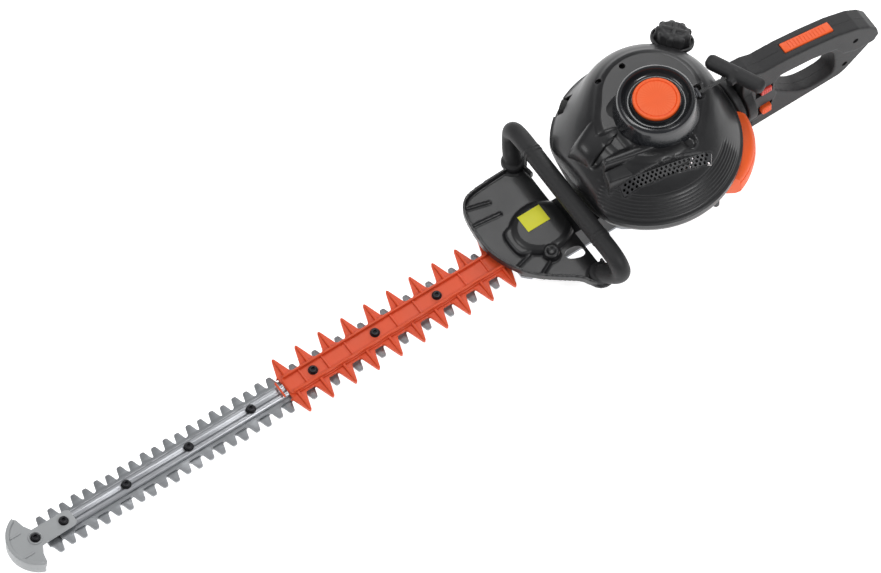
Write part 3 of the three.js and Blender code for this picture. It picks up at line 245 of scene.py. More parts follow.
def arc_points(x, y, radius, start, end, count):
    """Points on an arc between two angles in degrees."""
    angles = [math.radians(start + (end - start) * i / count) for i in range(count + 1)]
    return [(x + radius * math.cos(a), y + radius * math.sin(a)) for a in angles]


def mirrored(points):
    """An outline half and its mirror image across the X axis."""
    return points + [(x, -y) for x, y in reversed(points)]


def place(piece, body, finish, slot_name, *nodes):
    """Gives a finished piece its material, its body, its slot and the CAD nodes it stands for."""
    piece.data.materials.clear()
    piece.data.materials.append(bpy.data.materials[finish])
    piece.data.name = piece.name
    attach(piece, body)
    if nodes:
        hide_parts(*nodes)
    return piece


def fused(piece, voxel=1.2, rounds=4):
    """Runs overlapping solids together and softens every edge; voxel in millimetres."""
    finish_with(piece, "REMESH", mode="VOXEL", voxel_size=voxel * MM, use_smooth_shade=True)
    if rounds:
        finish_with(piece, "SMOOTH", factor=0.5, iterations=rounds)
    return piece


def moved_by(piece, rule):
    """Moves every vertex by a rule that takes and returns an array of places in millimetres."""
    mesh = piece.data
    flat = np.empty(3 * len(mesh.vertices))
    mesh.vertices.foreach_get("co", flat)
    places = rule(flat.reshape(-1, 3) / MM)
    mesh.vertices.foreach_set("co", (places * MM).ravel())
    mesh.update()
    return piece


def copied(piece, name, turn=None):
    """A copy with its own mesh, placed by a matrix."""
    pick(piece)
    bpy.ops.object.duplicate(linked=False)
    twin = bpy.context.object
    twin.name = name
    if turn is not None:
        twin.data.transform(turn)
    return twin


def halved(piece, point, normal):
    """Cuts a piece at a plane, keeps the side behind the normal and closes it."""
    edit(piece)
    bpy.ops.mesh.bisect(plane_co=[c * MM for c in point], plane_no=normal, use_fill=True, clear_outer=True)
    bpy.ops.object.mode_set(mode="OBJECT")
    return piece


def along(point, direction):
    """A matrix that takes the Z axis to a direction and the origin to a point in millimetres."""
    turn = Vector((0, 0, 1)).rotation_difference(Vector(direction)).to_matrix().to_4x4()
    return Matrix.Translation([c * MM for c in point]) @ turn


def rounded_bar(name, low, high, radius, segments=4):
    """A box with rounded edges."""
    return bevel(block(name, low, high), radius, segments)


def screw_head(name, point, radius=4.4, height=2.6, direction=(0, 0, 1)):
    """A round socket head with a soft rim and a six-sided recess."""
    rim = radius - 0.7
    head = turned(name, [(0, 0), (radius, 0), (radius, height - 0.8), (rim, height), (0, height)], steps=28)
    settle(head)
    key = rod(name + "_key", (0, 0), radius * 0.52, height * 0.4, height + 1, sides=6)
    carve(head, key)
    head.data.transform(along(point, direction))
    return smooth(head, 30)


# ---- Finishes --------------------------------------------------------------------------------------------


def group_with(name, inputs, outputs):
    """A new shader node group with its sockets, its input node and its output node."""
    tree = bpy.data.node_groups.new(name, "ShaderNodeTree")
    for socket, kind, value in inputs:
        made = tree.interface.new_socket(socket, in_out="INPUT", socket_type=kind)
        if value is not None:
            made.default_value = value
    for socket, kind in outputs:
        tree.interface.new_socket(socket, in_out="OUTPUT", socket_type=kind)
    return tree, tree.nodes.new("NodeGroupInput"), tree.nodes.new("NodeGroupOutput")


def math_node(tree, operation, first, second, clamp=False):
    """A Math node with two inputs, each a socket or a number."""
    node = tree.nodes.new("ShaderNodeMath")
    node.operation = operation
    node.use_clamp = clamp
    for socket, value in zip(node.inputs, (first, second)):
        if isinstance(value, (int, float)):
            socket.default_value = value
        else:
            tree.links.new(value, socket)
    return node.outputs[0]


def noise_node(tree, vector, scale, detail=4.0, rough=0.55):
    """A noise pattern; scale is a socket or a number."""
    node = tree.nodes.new("ShaderNodeTexNoise")
    node.inputs["Detail"].default_value = detail
    node.inputs["Roughness"].default_value = rough
    tree.links.new(vector, node.inputs["Vector"])
    if isinstance(scale, (int, float)):
        node.inputs["Scale"].default_value = scale
    else:
        tree.links.new(scale, node.inputs["Scale"])
    return node.outputs["Fac"]


def build_grain_group():
    """Fine moulded grain: a height for bump and a mask that changes the gloss a little."""
    tree, start, end = group_with(
        "Moulded grain",
        [("Vector", "NodeSocketVector", None), ("Scale", "NodeSocketFloat", 900.0)],
        [("Height", "NodeSocketFloat"), ("Gloss mask", "NodeSocketFloat")])
    fine = noise_node(tree, start.outputs["Vector"], start.outputs["Scale"], 3.0)
    cells = tree.nodes.new("ShaderNodeTexVoronoi")
    tree.links.new(start.outputs["Vector"], cells.inputs["Vector"])
    tree.links.new(start.outputs["Scale"], cells.inputs["Scale"])
    height = math_node(tree, "MULTIPLY_ADD", cells.outputs["Distance"], 0.6)
    tree.links.new(fine, height.node.inputs[2])
    tree.links.new(height, end.inputs["Height"])
    broad = noise_node(tree, start.outputs["Vector"], 24.0, 5.0)
    tree.links.new(broad, end.inputs["Gloss mask"])
    return tree


def build_wear_group():
    """Rubbed edges: bright where the surface turns outwards and the hand or a branch has worn it."""
    tree, start, end = group_with(
        "Rubbed edges",
        [("Vector", "NodeSocketVector", None), ("Amount", "NodeSocketFloat", 0.5)],
        [("Mask", "NodeSocketFloat")])
    shape = tree.nodes.new("ShaderNodeNewGeometry")
    ridge = tree.nodes.new("ShaderNodeMapRange")
    ridge.inputs["From Min"].default_value = 0.53
    ridge.inputs["From Max"].default_value = 0.62
    tree.links.new(shape.outputs["Pointiness"], ridge.inputs["Value"])
    broken = noise_node(tree, start.outputs["Vector"], 90.0, 6.0, 0.7)
    patchy = math_node(tree, "MULTIPLY", ridge.outputs["Result"], broken)
    worn = math_node(tree, "MULTIPLY", patchy, start.outputs["Amount"], clamp=True)
    tree.links.new(worn, end.inputs["Mask"])
    return tree


def build_dust_group():
    """Dust that settles on faces that look up, in soft patches."""
    tree, start, end = group_with(
        "Settled dust",
        [("Vector", "NodeSocketVector", None), ("Amount", "NodeSocketFloat", 0.3)],
        [("Mask", "NodeSocketFloat")])
    shape = tree.nodes.new("ShaderNodeNewGeometry")
    parts = tree.nodes.new("ShaderNodeSeparateXYZ")
    tree.links.new(shape.outputs["Normal"], parts.inputs["Vector"])
    upward = math_node(tree, "MULTIPLY", parts.outputs["Z"], 0.8, clamp=True)
    patches = noise_node(tree, start.outputs["Vector"], 35.0, 6.0, 0.65)
    patchy = math_node(tree, "MULTIPLY", patches, upward)
    thin = math_node(tree, "MULTIPLY", patchy, start.outputs["Amount"], clamp=True)
    tree.links.new(thin, end.inputs["Mask"])
    return tree


def build_streak_group():
    """Fine lines along X, as a grinding wheel or a brush leaves on metal."""
    tree, start, end = group_with(
        "Brushed streaks",
        [("Vector", "NodeSocketVector", None), ("Fineness", "NodeSocketFloat", 500.0)],
        [("Height", "NodeSocketFloat"), ("Mask", "NodeSocketFloat")])
    stretch = tree.nodes.new("ShaderNodeVectorMath")
    stretch.operation = "MULTIPLY"
    stretch.inputs[1].default_value = (0.03, 1.0, 1.0)
    tree.links.new(start.outputs["Vector"], stretch.inputs[0])
    lines = noise_node(tree, stretch.outputs[0], start.outputs["Fineness"], 6.0, 0.7)
    tree.links.new(lines, end.inputs["Height"])
    broad = noise_node(tree, start.outputs["Vector"], 30.0, 5.0)
    mixed = math_node(tree, "MULTIPLY", lines, broad)
    tree.links.new(mixed, end.inputs["Mask"])
    return tree


def group_node(tree, name, vector, **values):
    """Places a node group in a material, with its vector joined and its values set."""
    node = tree.nodes.new("ShaderNodeGroup")
    node.node_tree = bpy.data.node_groups[name]
    tree.links.new(vector, node.inputs["Vector"])
    for key, value in values.items():
        node.inputs[key.replace("_", " ").capitalize()].default_value = value
    return node


def mixed_colour(tree, mask, first, second):
    """Mixes two colours by a mask; each is a colour or a socket."""
    node = tree.nodes.new("ShaderNodeMix")
    node.data_type = "RGBA"
    tree.links.new(mask, node.inputs[0])
    for socket, value in ((node.inputs[6], first), (node.inputs[7], second)):
        if isinstance(value, tuple):
            socket.default_value = (*value, 1.0)
        else:
            tree.links.new(value, socket)
    return node.outputs[2]


def scaled(tree, socket, low, high):
    """Brings a 0 to 1 value into a range."""
    node = tree.nodes.new("ShaderNodeMapRange")
    node.inputs["To Min"].default_value = low
    node.inputs["To Max"].default_value = high
    tree.links.new(socket, node.inputs["Value"])
    return node.outputs["Result"]


def new_finish(name):
    """An empty material with its shader and its object coordinates."""
    finish = bpy.data.materials.new(name)
    finish.use_nodes = True
    tree = finish.node_tree
    tree.nodes.clear()
    shader = tree.nodes.new("ShaderNodeBsdfPrincipled")
    output = tree.nodes.new("ShaderNodeOutputMaterial")
    tree.links.new(shader.outputs["BSDF"], output.inputs["Surface"])
    place_node = tree.nodes.new("ShaderNodeTexCoord")
    return finish, tree, shader, place_node.outputs["Object"]


def bump_into(tree, shader, height, distance, strength=1.0):
    """Feeds a height into the shader's normal; distance in millimetres."""
    node = tree.nodes.new("ShaderNodeBump")
    node.inputs["Strength"].default_value = strength
    node.inputs["Distance"].default_value = distance * MM
    tree.links.new(height, node.inputs["Height"])
    tree.links.new(node.outputs["Normal"], shader.inputs["Normal"])


def moulded(name, colour, roughness, grain=900.0, depth=0.05, wear=0.4, dust=0.03, coat=0.0):
    """Moulded plastic or rubber: grain, rubbed edges and a little dust."""
    finish, tree, shader, spot = new_finish(name)
    grain_node = group_node(tree, "Moulded grain", spot, scale=grain)
    wear_node = group_node(tree, "Rubbed edges", spot, amount=wear)
    dust_node = group_node(tree, "Settled dust", spot, amount=dust)
    shade = tuple(min(1.0, 1.25 * c + 0.004) for c in colour)
    light = tuple(min(1.0, 1.5 * c + 0.05) for c in colour)
    base = mixed_colour(tree, grain_node.outputs["Gloss mask"], colour, shade)
    rubbed = mixed_colour(tree, wear_node.outputs["Mask"], base, light)
    dusty = mixed_colour(tree, dust_node.outputs["Mask"], rubbed, (0.32, 0.31, 0.29))
    tree.links.new(dusty, shader.inputs["Base Color"])
    gloss = scaled(tree, grain_node.outputs["Gloss mask"], roughness - 0.08, roughness + 0.10)
    tree.links.new(math_node(tree, "ADD", gloss, dust_node.outputs["Mask"], clamp=True),
                   shader.inputs["Roughness"])
    bump_into(tree, shader, grain_node.outputs["Height"], depth)
    shader.inputs["Coat Weight"].default_value = coat
    shader.inputs["Specular IOR Level"].default_value = 0.4
    shader.inputs["Coat Roughness"].default_value = 0.12
    return finish


def metal(name, colour, dark, roughness, fineness=500.0, depth=0.03, wear=0.6, metallic=1.0):
    """Ground, brushed or cast metal with streaks, stains and bright edges."""
    finish, tree, shader, spot = new_finish(name)
    streak = group_node(tree, "Brushed streaks", spot, fineness=fineness)
    wear_node = group_node(tree, "Rubbed edges", spot, amount=wear)
    base = mixed_colour(tree, streak.outputs["Mask"], dark, colour)
    light = tuple(min(1.0, 1.2 * c + 0.05) for c in colour)
    tree.links.new(mixed_colour(tree, wear_node.outputs["Mask"], base, light), shader.inputs["Base Color"])
    tree.links.new(scaled(tree, streak.outputs["Mask"], roughness + 0.12, roughness - 0.1),
                   shader.inputs["Roughness"])
    bump_into(tree, shader, streak.outputs["Height"], depth)
    shader.inputs["Metallic"].default_value = metallic
    return finish


def braided(name, colour):
    """Braided cord: two crossing sets of strands round the rope."""
    finish, tree, shader, spot = new_finish(name)
    heights = []
    for tilt in (0.9, -0.9):
        turn = tree.nodes.new("ShaderNodeMapping")
        turn.inputs["Rotation"].default_value = (0.0, tilt, 0.4)
        tree.links.new(spot, turn.inputs["Vector"])
        wave = tree.nodes.new("ShaderNodeTexWave")
        wave.inputs["Scale"].default_value = 260.0
        wave.inputs["Distortion"].default_value = 0.6
        tree.links.new(turn.outputs["Vector"], wave.inputs["Vector"])
        heights.append(wave.outputs["Fac"])
    strands = math_node(tree, "MAXIMUM", heights[0], heights[1])
    light = tuple(min(1.0, 2.4 * c + 0.03) for c in colour)
    tree.links.new(mixed_colour(tree, strands, colour, light), shader.inputs["Base Color"])
    tree.links.new(scaled(tree, strands, 0.9, 0.65), shader.inputs["Roughness"])
    bump_into(tree, shader, strands, 0.3)
    return finish


def pleated(name, colour):
    """Pleated filter paper."""
    finish, tree, shader, spot = new_finish(name)
    wave = tree.nodes.new("ShaderNodeTexWave")
    wave.inputs["Scale"].default_value = 110.0
    tree.links.new(spot, wave.inputs["Vector"])
    fibres = noise_node(tree, spot, 700.0, 5.0)
    folds = math_node(tree, "MULTIPLY_ADD", wave.outputs["Fac"], 0.8)
    tree.links.new(fibres, folds.node.inputs[2])
    shade = tuple(0.7 * c for c in colour)
    tree.links.new(mixed_colour(tree, folds, shade, colour), shader.inputs["Base Color"])
    tree.links.new(scaled(tree, fibres, 0.8, 0.95), shader.inputs["Roughness"])
    bump_into(tree, shader, folds, 0.5)
    return finish


def build_finishes(sizes):
    """Every finish of the trimmer, built once."""
    build_grain_group()
    build_wear_group()
    build_dust_group()
    build_streak_group()
    orange = tuple(sizes.orange)
    moulded("black housing", (0.009, 0.009, 0.010), 0.36, grain=1400.0, depth=0.02, wear=0.55, coat=0.15)
    moulded("matt black housing", (0.012, 0.012, 0.013), 0.5, grain=1100.0, depth=0.04)
    moulded("gloss black ring", (0.010, 0.011, 0.013), 0.2, grain=1800.0, depth=0.01, wear=0.5, coat=0.5)
    moulded("handle grip black", (0.012, 0.012, 0.013), 0.55, grain=750.0, depth=0.09, wear=0.6)
    moulded("outlet panel grey", (0.03, 0.03, 0.032), 0.42, grain=1200.0, depth=0.03)
    moulded("rubber black", (0.015, 0.015, 0.015), 0.75, grain=600.0, depth=0.06)
    moulded("orange plastic", orange, 0.46, grain=1300.0, depth=0.03, wear=0.4, dust=0.01)
    moulded("orange guard plastic", tuple(sizes.guard_orange), 0.4, grain=1200.0, depth=0.04, wear=0.5,
            dust=0.04)
    moulded("red switch plastic", tuple(sizes.red), 0.35, grain=1300.0, depth=0.03)
    moulded("grey tip plastic", (0.33, 0.34, 0.345), 0.42, grain=1000.0, depth=0.05, wear=0.6, dust=0.06)
    moulded("yellow plate", tuple(sizes.yellow), 0.45, grain=1500.0, depth=0.01, wear=0.3)
    moulded("tank plastic", (0.45, 0.44, 0.38), 0.5, grain=900.0, depth=0.04)
    metal("bright steel", (0.62, 0.63, 0.65), (0.34, 0.35, 0.37), 0.34)
    metal("blade steel", (0.50, 0.51, 0.53), (0.24, 0.25, 0.26), 0.42, fineness=350.0, depth=0.05)
    metal("black oxide steel", (0.05, 0.05, 0.055), (0.02, 0.02, 0.022), 0.4)
    metal("dark steel", (0.24, 0.25, 0.26), (0.1, 0.1, 0.11), 0.45)
    metal("cast aluminium", (0.5, 0.51, 0.53), (0.3, 0.31, 0.33), 0.55, fineness=250.0, depth=0.12)
    metal("black cast case", (0.03, 0.03, 0.032), (0.012, 0.012, 0.013), 0.45, fineness=250.0, depth=0.1,
          metallic=0.2)
    metal("bronze fitting", (0.62, 0.42, 0.27), (0.35, 0.2, 0.12), 0.35)
    braided("starter cord", (0.02, 0.02, 0.02))
    pleated("filter paper", (0.72, 0.66, 0.5))


# ---- Engine covers ---------------------------------------------------------------------------------------

BODY_TOP = 161.0  # height of the dome's top
FRONT_FACE = 103.0  # where the body is cut flat towards the bar
WALL = 2.5  # of the two covers
PANEL_WALL = 2.2  # of the outlet panel
COVER_SCREWS = ((-1, -66), (30, -67))
STARTER_HOLE_R = 44.0
SIDES = 236  # points in each ring of the covers' skin
VALLEY_DEPTH = 6.0  # of the hollow between the cowl and the starter
POCKET_DEPTH = 5.0  # of the round pocket beside the ridges
BODY_CURVE = [(84, 59), (91, 70), (98, 82), (104, 92), (105.5, 97), (105.5, 104), (102.2, 106.4), (99, 112),
              (94, 120), (84, 134), (72, 147), (58, 158), (50, 161)]
SHOULDER_CURVE = [(70, 59), (76, 70), (80, 82), (83, 92), (84, 100), (83.8, 110), (83, 120), (76, 140),
                  (66, 152), (58, 158), (52, 161)]
SHOULDER_AT = (-6.0, -20.0)
COWL_TURN = math.radians(12.6)  # how far the cylinder cowl's ridges are turned from the bar
CAP_AT = (-73.0, -74.0, 132.0)
CAP_AXIS = (-0.395, -0.258, 0.883)
PLUG_ANGLE = math.radians(-53)
INTAKE_ANGLE = math.radians(143)


def curve_at(curve, heights):
    """Radius of a (radius, height) curve at each height, with the curve's corners eased above the rim."""
    levels, radii = [h for unused, h in curve], [r for r, unused in curve]
    exact = np.interp(heights, levels, radii)
    offsets = (-6, -4, -2, 0, 2, 4, 6)
    eased = sum(np.interp(heights + step, levels, radii) for step in offsets) / len(offsets)
    share = ramp(heights, 110, 118) * (1 - ramp(heights, 156, 161))
    return exact + (eased - exact) * share


def softmax(a, b, blend):
    """The larger of two arrays, with the crossing rounded over a width."""
    gap = np.clip(0.5 + 0.5 * (a - b) / blend, 0, 1)
    return b + (a - b) * gap + blend * gap * (1 - gap)


def ramp(values, low, high):
    """A smooth step from 0 at low to 1 at high."""
    t = np.clip((values - low) / (high - low), 0, 1)
    return t * t * (3 - 2 * t)


def cowl_frame(x, y):
    """Plan coordinates along (p) and across (q) the cowl's ridges."""
    c, s = math.cos(COWL_TURN), math.sin(COWL_TURN)
    return c * x - s * y, s * x + c * y


def body_edge(theta, heights):
    """Distance of the body's side from its own axis in each direction, at each height."""
    main = curve_at(BODY_CURVE, heights)
    shoulder = curve_at(SHOULDER_CURVE, heights)
    dx, dy = SHOULDER_AT[0] - BODY_X, SHOULDER_AT[1]
    forward = np.cos(theta) * dx + np.sin(theta) * dy
    beside = dx * dx + dy * dy - forward ** 2
    reach = forward + np.sqrt(np.maximum(shoulder ** 2 - beside, 1.0))
    edge = softmax(main, reach, 6.0)
    flat = (FRONT_FACE - BODY_X) / np.maximum(np.cos(theta), 0.05)
    return -softmax(-edge, -flat, 5.0)


def side_ribs(x, y, z, theta):
    """How far the cooling ribs stand in or out of the side wall."""
    where = (ramp(z, 107.5, 109.5) * (1 - ramp(z, 131, 134))
             * ramp(theta, 0.32, 0.48) * (1 - ramp(theta, 2.25, 2.45)))
    return -1.5 * where * ramp(np.cos(z * 2 * math.pi / 3.6), -0.1, 0.5)


def cowl_height(x, y, z):
    """The dome with its ridges, its lobe, its dished strip and its valleys."""
    p, q = cowl_frame(x, y)
    top = ramp(z, 128, 136)
    valley = ramp(q, 2, 10) * (1 - ramp(q, 28, 35)) * ramp(x, 44, 54) * (1 - ramp(x, 84, 94))
    z = z - VALLEY_DEPTH * valley * top
    pocket = np.clip(1 - np.hypot(p + 20, q - 47) / 9.0, 0, 1)
    z = z - POCKET_DEPTH * ramp(pocket, 0.0, 0.5)
    strip = ramp(p, -44, -41) * (1 - ramp(p, 67.5, 70.5)) * ramp(q, 59.2, 60.4) * (1 - ramp(q, 71.8, 73.0))
    plane = 149.5 - 0.62 * (q - 60) - 0.0016 * (p - 15) ** 2
    z = z + (np.minimum(plane, z) - z) * strip * top
    return z


def body_skin(name, low, high, inset=0.0):
    """The body's outer skin between two heights as an open sheet of rings, its sides and its dome."""
    heights = [low]
    for a, b, step in ((59, 92, 2.2), (92, 106.4, 1.2), (106.4, 134, 0.72), (134, BODY_TOP, 0.9)):
        heights += [h for h in np.arange(a, b, step) if low + 0.2 < h < high - 0.2]
    heights += [high]
    deselect()
    bpy.ops.mesh.primitive_circle_add(vertices=SIDES, radius=0.09, location=(0, 0, 0), fill_type="NOTHING")
    skin = bpy.context.object
    skin.name = name
    edit(skin)
    inner_rings = 40 if high >= BODY_TOP else 0
    for unused in range(len(heights) - 1 + inner_rings):
        bpy.ops.mesh.extrude_region_move(TRANSFORM_OT_translate={"value": (0, 0, 0.001)})
    bpy.ops.object.mode_set(mode="OBJECT")
    levels = np.array(heights + [high] * inner_rings)
    inward = np.array([0.0] * len(heights) + [(i + 1) / inner_rings for i in range(inner_rings)])

    def shaped(places):
        ring = np.rint(places[:, 2]).astype(int)
        theta = np.arctan2(places[:, 1], places[:, 0])
        z = levels[ring].astype(float)
        edge = body_edge(theta, z) - inset
        x, y = BODY_X + edge * np.cos(theta), edge * np.sin(theta)
        out = side_ribs(x, y, z, np.mod(theta, 2 * math.pi))
        x, y = x + out * np.cos(theta), y + out * np.sin(theta)
        share = inward[ring]
        x = x + (STARTER_HOLE_R * np.cos(theta) - x) * share
        y = y + (STARTER_HOLE_R * np.sin(theta) - y) * share
        return np.column_stack((x, y, cowl_height(x, y, z) if high >= BODY_TOP else z))

    return moved_by(skin, shaped)


def dome_height(x, y):
    """Height of the plain dome over each place in plan."""
    theta, reach = np.arctan2(y, x - BODY_X), np.hypot(x - BODY_X, y)
    levels = np.linspace(106.5, BODY_TOP, 220)
    edges = np.array([body_edge(theta, np.full_like(theta, level)) for level in levels])
    return np.array([np.interp(-reach[i], -edges[:, i], levels) for i in range(len(reach))])


def walled(sheet, thickness):
    """Turns an open sheet of skin outwards and gives it a wall on its inner side."""
    edit(sheet)
    bpy.ops.mesh.remove_doubles(threshold=0.00001)
    bpy.ops.mesh.normals_make_consistent(inside=False)
    bpy.ops.object.mode_set(mode="OBJECT")
    axis = Vector((BODY_X * MM, 0, 0))
    outward = sum(face.normal.dot((face.center - axis).normalized()) for face in sheet.data.polygons)
    if outward < 0:
        edit(sheet)
        bpy.ops.mesh.flip_normals()
        bpy.ops.object.mode_set(mode="OBJECT")
    return finish_with(sheet, "SOLIDIFY", thickness=thickness * MM, offset=-1, use_rim=True)


def side_window(name, angle, centre, low, high):
    """A box-shaped cutter turned about the crank axis."""
    tool = block(name, low, high)
    tool.data.transform(Matrix.Translation([c * MM for c in centre]) @ Matrix.Rotation(angle, 4, "Z"))
    return tool


def cowl_place(p, q, z):
    """The place in plan of a point given along and across the cowl's ridges."""
    c, s = math.cos(COWL_TURN), math.sin(COWL_TURN)
    return (c * p + s * q, -s * p + c * q, z)


def strip_outline(grow):
    """Outline of the outlet panel, in plan."""
    corners = [(-41 - grow, 60.4 - grow), (68 + grow, 60.4 - grow), (66 + grow, 71.8 + grow),
               (-36 - grow, 71.8 + grow)]
    return [cowl_place(p, q, 0)[:2] for p, q in corners]


def outlet_holes():
    """Cutters for three staggered rows of small slots."""
    holes = []
    for row, q in enumerate((62.6, 66.0, 69.4)):
        for i in range(19):
            p = -34 + 5.3 * i + (2.6 if row % 2 else 0)
            hole = rod("slot", (0, 0), 1.55, 120, 175, sides=10)
            hole.data.transform(Matrix.Translation([c * MM for c in cowl_place(p, q, 0)]))
            holes.append(hole)
    return holes


def loaf(name, along_p, across_q, crest, sharp=5.0, end_sharp=40, turn=0.0):
    """A hollow ridge on the dome, along the cowl or turned from it, with a rounded crest and ends."""
    deselect()
    bpy.ops.mesh.primitive_grid_add(x_subdivisions=140, y_subdivisions=30, size=2)
    ridge = bpy.context.object
    ridge.name = name

    def raised(places):
        u, v = places[:, 0] * MM, places[:, 1] * MM
        v = np.sin(v * math.pi / 2)
        u = 0.4 * u + 0.6 * np.sin(u * math.pi / 2)
        p = sum(along_p) / 2 + u * (along_p[1] - along_p[0]) / 2
        q = sum(across_q) / 2 + v * (across_q[1] - across_q[0]) / 2
        x, y, unused = cowl_place(math.cos(turn) * p - math.sin(turn) * q,
                                  math.sin(turn) * p + math.cos(turn) * q, 0)
        base = dome_height(x, y) - 2.6
        side = np.clip(1 - np.abs(v) ** sharp, 0, 1) ** 0.5
        end = np.clip(1 - np.abs(u) ** end_sharp, 0, 1) ** 0.5
        return np.column_stack((x, y, base + (crest(p, q) - base) * side * end))

    moved_by(ridge, raised)
    return walled(ridge, 2.2)


def build_engine_cover():
    """The upper cover with its cowl, its openings and its screw recesses."""
    cover = body_skin("engine_cover_shell", SPLIT, BODY_TOP)
    walled(cover, WALL)
    for ridge in (loaf("first_ridge", (-13, 79), (33.5, 44.6),
                       lambda p, q: 164.5 - 0.03 * p - 0.035 * (q - 38) ** 2),
                  loaf("second_ridge", (-10, 80), (44.0, 60.0),
                       lambda p, q: 159.5 - 0.09 * p - 0.40 * (q - 46), 9.0),
                  loaf("crank_lobe", (0, 93), (-46, -13), lambda p, q: 169 - 0.2 * p, 2.4, 7,
                       math.radians(25.4))):
        carve(cover, ridge, operation="UNION")
    tools = [slab("strip_tool", strip_outline(0.0), 100, 180)]
    cap_well = rod("cap_well", (0, 0), 21.5, -0.3, 50, sides=48)
    cap_well.data.transform(along(CAP_AT, CAP_AXIS))
    tools.append(cap_well)
    tools.append(side_window("plug_window", PLUG_ANGLE, (0, 0, 0), (84, -13, 96), (135, 13, 119)))
    tools.append(side_window("filter_room", INTAKE_ANGLE, (0, 0, 0), (58, -46, 50), (140, 43, 98)))
    tools.append(block("cable_room", (-110, -1, 78), (-84, 18, 93)))
    tools.append(rounded_bar("rope_trough", (-95, -2, 155.5), (-45, 16, 176), 3))
    for x, y in COVER_SCREWS:
        tools.append(rod("screw_well", (x, y), 3.6, 126, 190, sides=20))
    for tool in tools:
        carve(cover, tool)
    bevel(cover, 0.35, 1, 50)
    smooth(cover, 38)
    place(cover, MAIN, "black housing", "black", "engine_cover")

    deselect()
    bpy.ops.mesh.primitive_grid_add(x_subdivisions=170, y_subdivisions=16, size=2)
    panel = bpy.context.object
    panel.name = "outlet_panel_strip"

    def laid(places):
        u, v = (places[:, 0] * MM + 1) / 2, (places[:, 1] * MM + 1) / 2
        p = (-40.7 + 4.7 * v) + u * (108.4 - 6.7 * v)
        x, y, unused = cowl_place(p, 60.7 + 10.8 * v, 0)
        return np.column_stack((x, y, cowl_height(x, y, dome_height(x, y)) + 0.05))

    moved_by(panel, laid)
    walled(panel, PANEL_WALL)
    carve(panel, *outlet_holes())
    smooth(panel, 38)
    place(panel, MAIN, "outlet panel grey", "black", "outlet_panel")


def build_cover_details():
    """Screws in the cover and the collar of the tank neck."""
    heads = []
    for x, y in COVER_SCREWS:
        heads.append(screw_head("cover_screw", (x, y, 149), 3.0, 3.0))
    screws = merge_pieces(*heads)
    screws.name = "cover_screws"
    place(screws, MAIN, "black oxide steel", "dark_steel")
    collar = turned("filler_collar",
                    [(13.5, -24), (17.5, -24), (17.5, -1), (23.5, -0.8), (24.6, 0.6), (24.6, 4), (22.8, 4.6),
                                      (22.4, 1.2), (14.4, 0.8)], steps=64, matrix=along(CAP_AT, CAP_AXIS))
    smooth(collar, 30)
    place(collar, MAIN, "matt black housing", "black")


def build_lower_cover():
    """The lower cover, from the seam down to the open underside."""
    cover = body_skin("lower_cover_shell", 59, SPLIT - 0.5)
    walled(cover, WALL)
    floor = turned("underside", [(42, 59), (84, 59), (84, 61.5), (42, 61.5)], BODY_X, 0, steps=96)
    carve(floor, rod("gear_room", (0, 0), 42, 50, 70, sides=64))
    carve(cover, floor, operation="UNION")
    tools = [side_window("filter_room", INTAKE_ANGLE, (0, 0, 0), (58, -46, 50), (140, 43, 99))]
    tools.append(side_window("choke_room", math.radians(106), (BODY_X, 0, 0), (84, -16, 74.5),
                             (120, 6, 85.5)))
    primer = rod("primer_room", (0, 71.3), 8, 83, 120, sides=32, axis="X")
    primer.data.transform(Matrix.Translation((BODY_X * MM, 0, 0))
                          @ Matrix.Rotation(math.radians(205), 4, "Z"))
    tools.append(primer)
    tools.append(rod("swivel_room", (0, 78), 14.5, -130, -60, sides=48, axis="X"))
    exhaust = rod("exhaust_room", (44, 99), 7.5, 88, 130, sides=32, axis="X")
    exhaust.data.transform(Matrix.Rotation(PLUG_ANGLE, 4, "Z"))
    tools.append(exhaust)
    for i in range(9):
        tools.append(side_window("vent", math.radians(-40 - 9 * i), (BODY_X, 0, 0), (60, -1.6, 66),
                                 (120, 1.6, 82)))
    for tool in tools:
        carve(cover, tool)
    bevel(cover, 0.35, 1, 50)
    smooth(cover, 38)
    place(cover, MAIN, "matt black housing", "black", "lower_cover")


